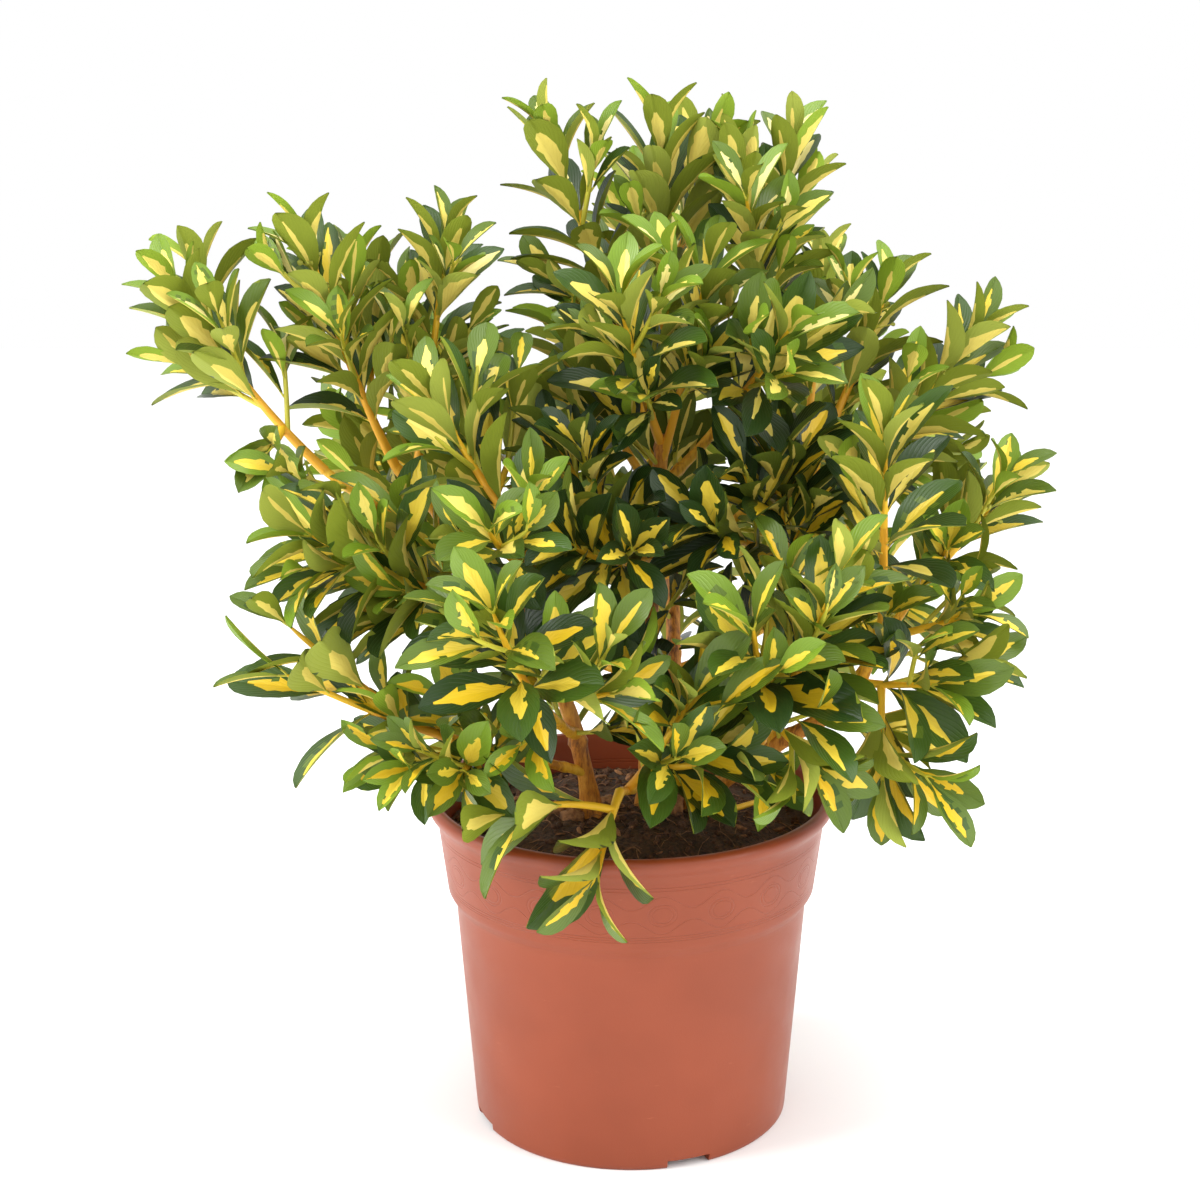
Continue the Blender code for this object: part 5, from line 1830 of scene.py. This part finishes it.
class Studio:
    """Pale floor, soft lights and the camera at the photograph's viewing angle."""

    def __init__(self, sizes: StudioSizes) -> None:
        self.sizes = sizes

    def build(self) -> None:
        """Make the floor, the lights, the world and the camera."""
        self._floor()
        self._world()
        self._light("key", (-2.2, -0.7, 1.4), 1.2, 50.0)
        self._light("low", (-1.8, -0.5, 0.2), 0.8, 9.0)
        self._light("front", (0.3, -2.6, 0.9), 1.6, 8.0)
        self._light("fill", (1.9, -0.9, 1.2), 1.6, 34.0)
        self._light("top", (0.1, -0.2, 2.4), 1.4, 34.0)
        self._camera()

    def _floor(self) -> None:
        """Pale floor."""
        shape = bmesh.new()
        bmesh.ops.create_grid(shape, x_segments=2, y_segments=2, size=self.sizes.floor / 2)
        mesh = bpy.data.meshes.new("floor")
        shape.to_mesh(mesh)
        shape.free()
        floor = bpy.data.objects.new("floor", mesh)
        bpy.context.scene.collection.objects.link(floor)
        material = bpy.data.materials.new("pale_floor")
        material.use_nodes = True
        shader = material.node_tree.nodes["Principled BSDF"]
        shader.inputs["Base Color"].default_value = (0.93, 0.93, 0.93, 1.0)
        shader.inputs["Roughness"].default_value = 0.85
        mesh.materials.append(material)

    def _world(self) -> None:
        """Even white surroundings."""
        world = bpy.data.worlds.new("studio")
        world.use_nodes = True
        back = world.node_tree.nodes["Background"]
        back.inputs["Color"].default_value = (1.0, 1.0, 1.0, 1.0)
        back.inputs["Strength"].default_value = self.sizes.world
        bpy.context.scene.world = world

    @staticmethod
    def _light(name: str, place: tuple, size: float, power: float) -> None:
        """Add a square area light that looks at the plant."""
        data = bpy.data.lights.new(name, "AREA")
        data.size = size
        data.energy = power
        lamp = bpy.data.objects.new(name, data)
        bpy.context.scene.collection.objects.link(lamp)
        lamp.location = place
        aim = Vector((0.0, 0.0, 0.3)) - Vector(place)
        lamp.rotation_euler = aim.to_track_quat("-Z", "Y").to_euler()

    def _camera(self) -> None:
        """Camera at the photograph's viewing angle."""
        s = self.sizes
        data = bpy.data.cameras.new("camera")
        data.lens = s.lens
        data.sensor_width = 36.0
        data.shift_x = s.shift
        camera = bpy.data.objects.new("camera", data)
        bpy.context.scene.collection.objects.link(camera)
        camera.location = (0.0, -s.camera_distance, s.camera_height)
        camera.rotation_euler = (math.pi / 2 - s.camera_dip, 0.0, 0.0)
        bpy.context.scene.camera = camera


def main() -> None:
    """Load the frame, build every piece and set up the studio."""
    logging.basicConfig(level=logging.INFO, format="%(name)s: %(message)s")
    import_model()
    materials = Materials(NodeGroups())
    pot_sizes = PotSizes()
    pot = Pot(pot_sizes)
    shell = pot.build()
    pot_tree = mesh_tree(shell)
    pot.dress(shell, materials)
    soil = Soil(SoilSizes(), pot_sizes)
    soil.dress(materials)
    limbs = Limbs(LimbSizes())
    limbs.plan()
    limbs.dress(materials)
    foliage = Foliage(ShootSizes(), LeafSizes(), limbs)
    foliage.fixed = [pot_tree, mesh_tree(bpy.data.objects["soil_bed"].data), *limbs.trees]
    foliage.grow()
    foliage.dress(materials)
    Studio(StudioSizes()).build()
    bpy.context.scene.view_settings.view_transform = "Standard"
    bpy.context.view_layer.update()


if __name__ == "__main__":
    main()
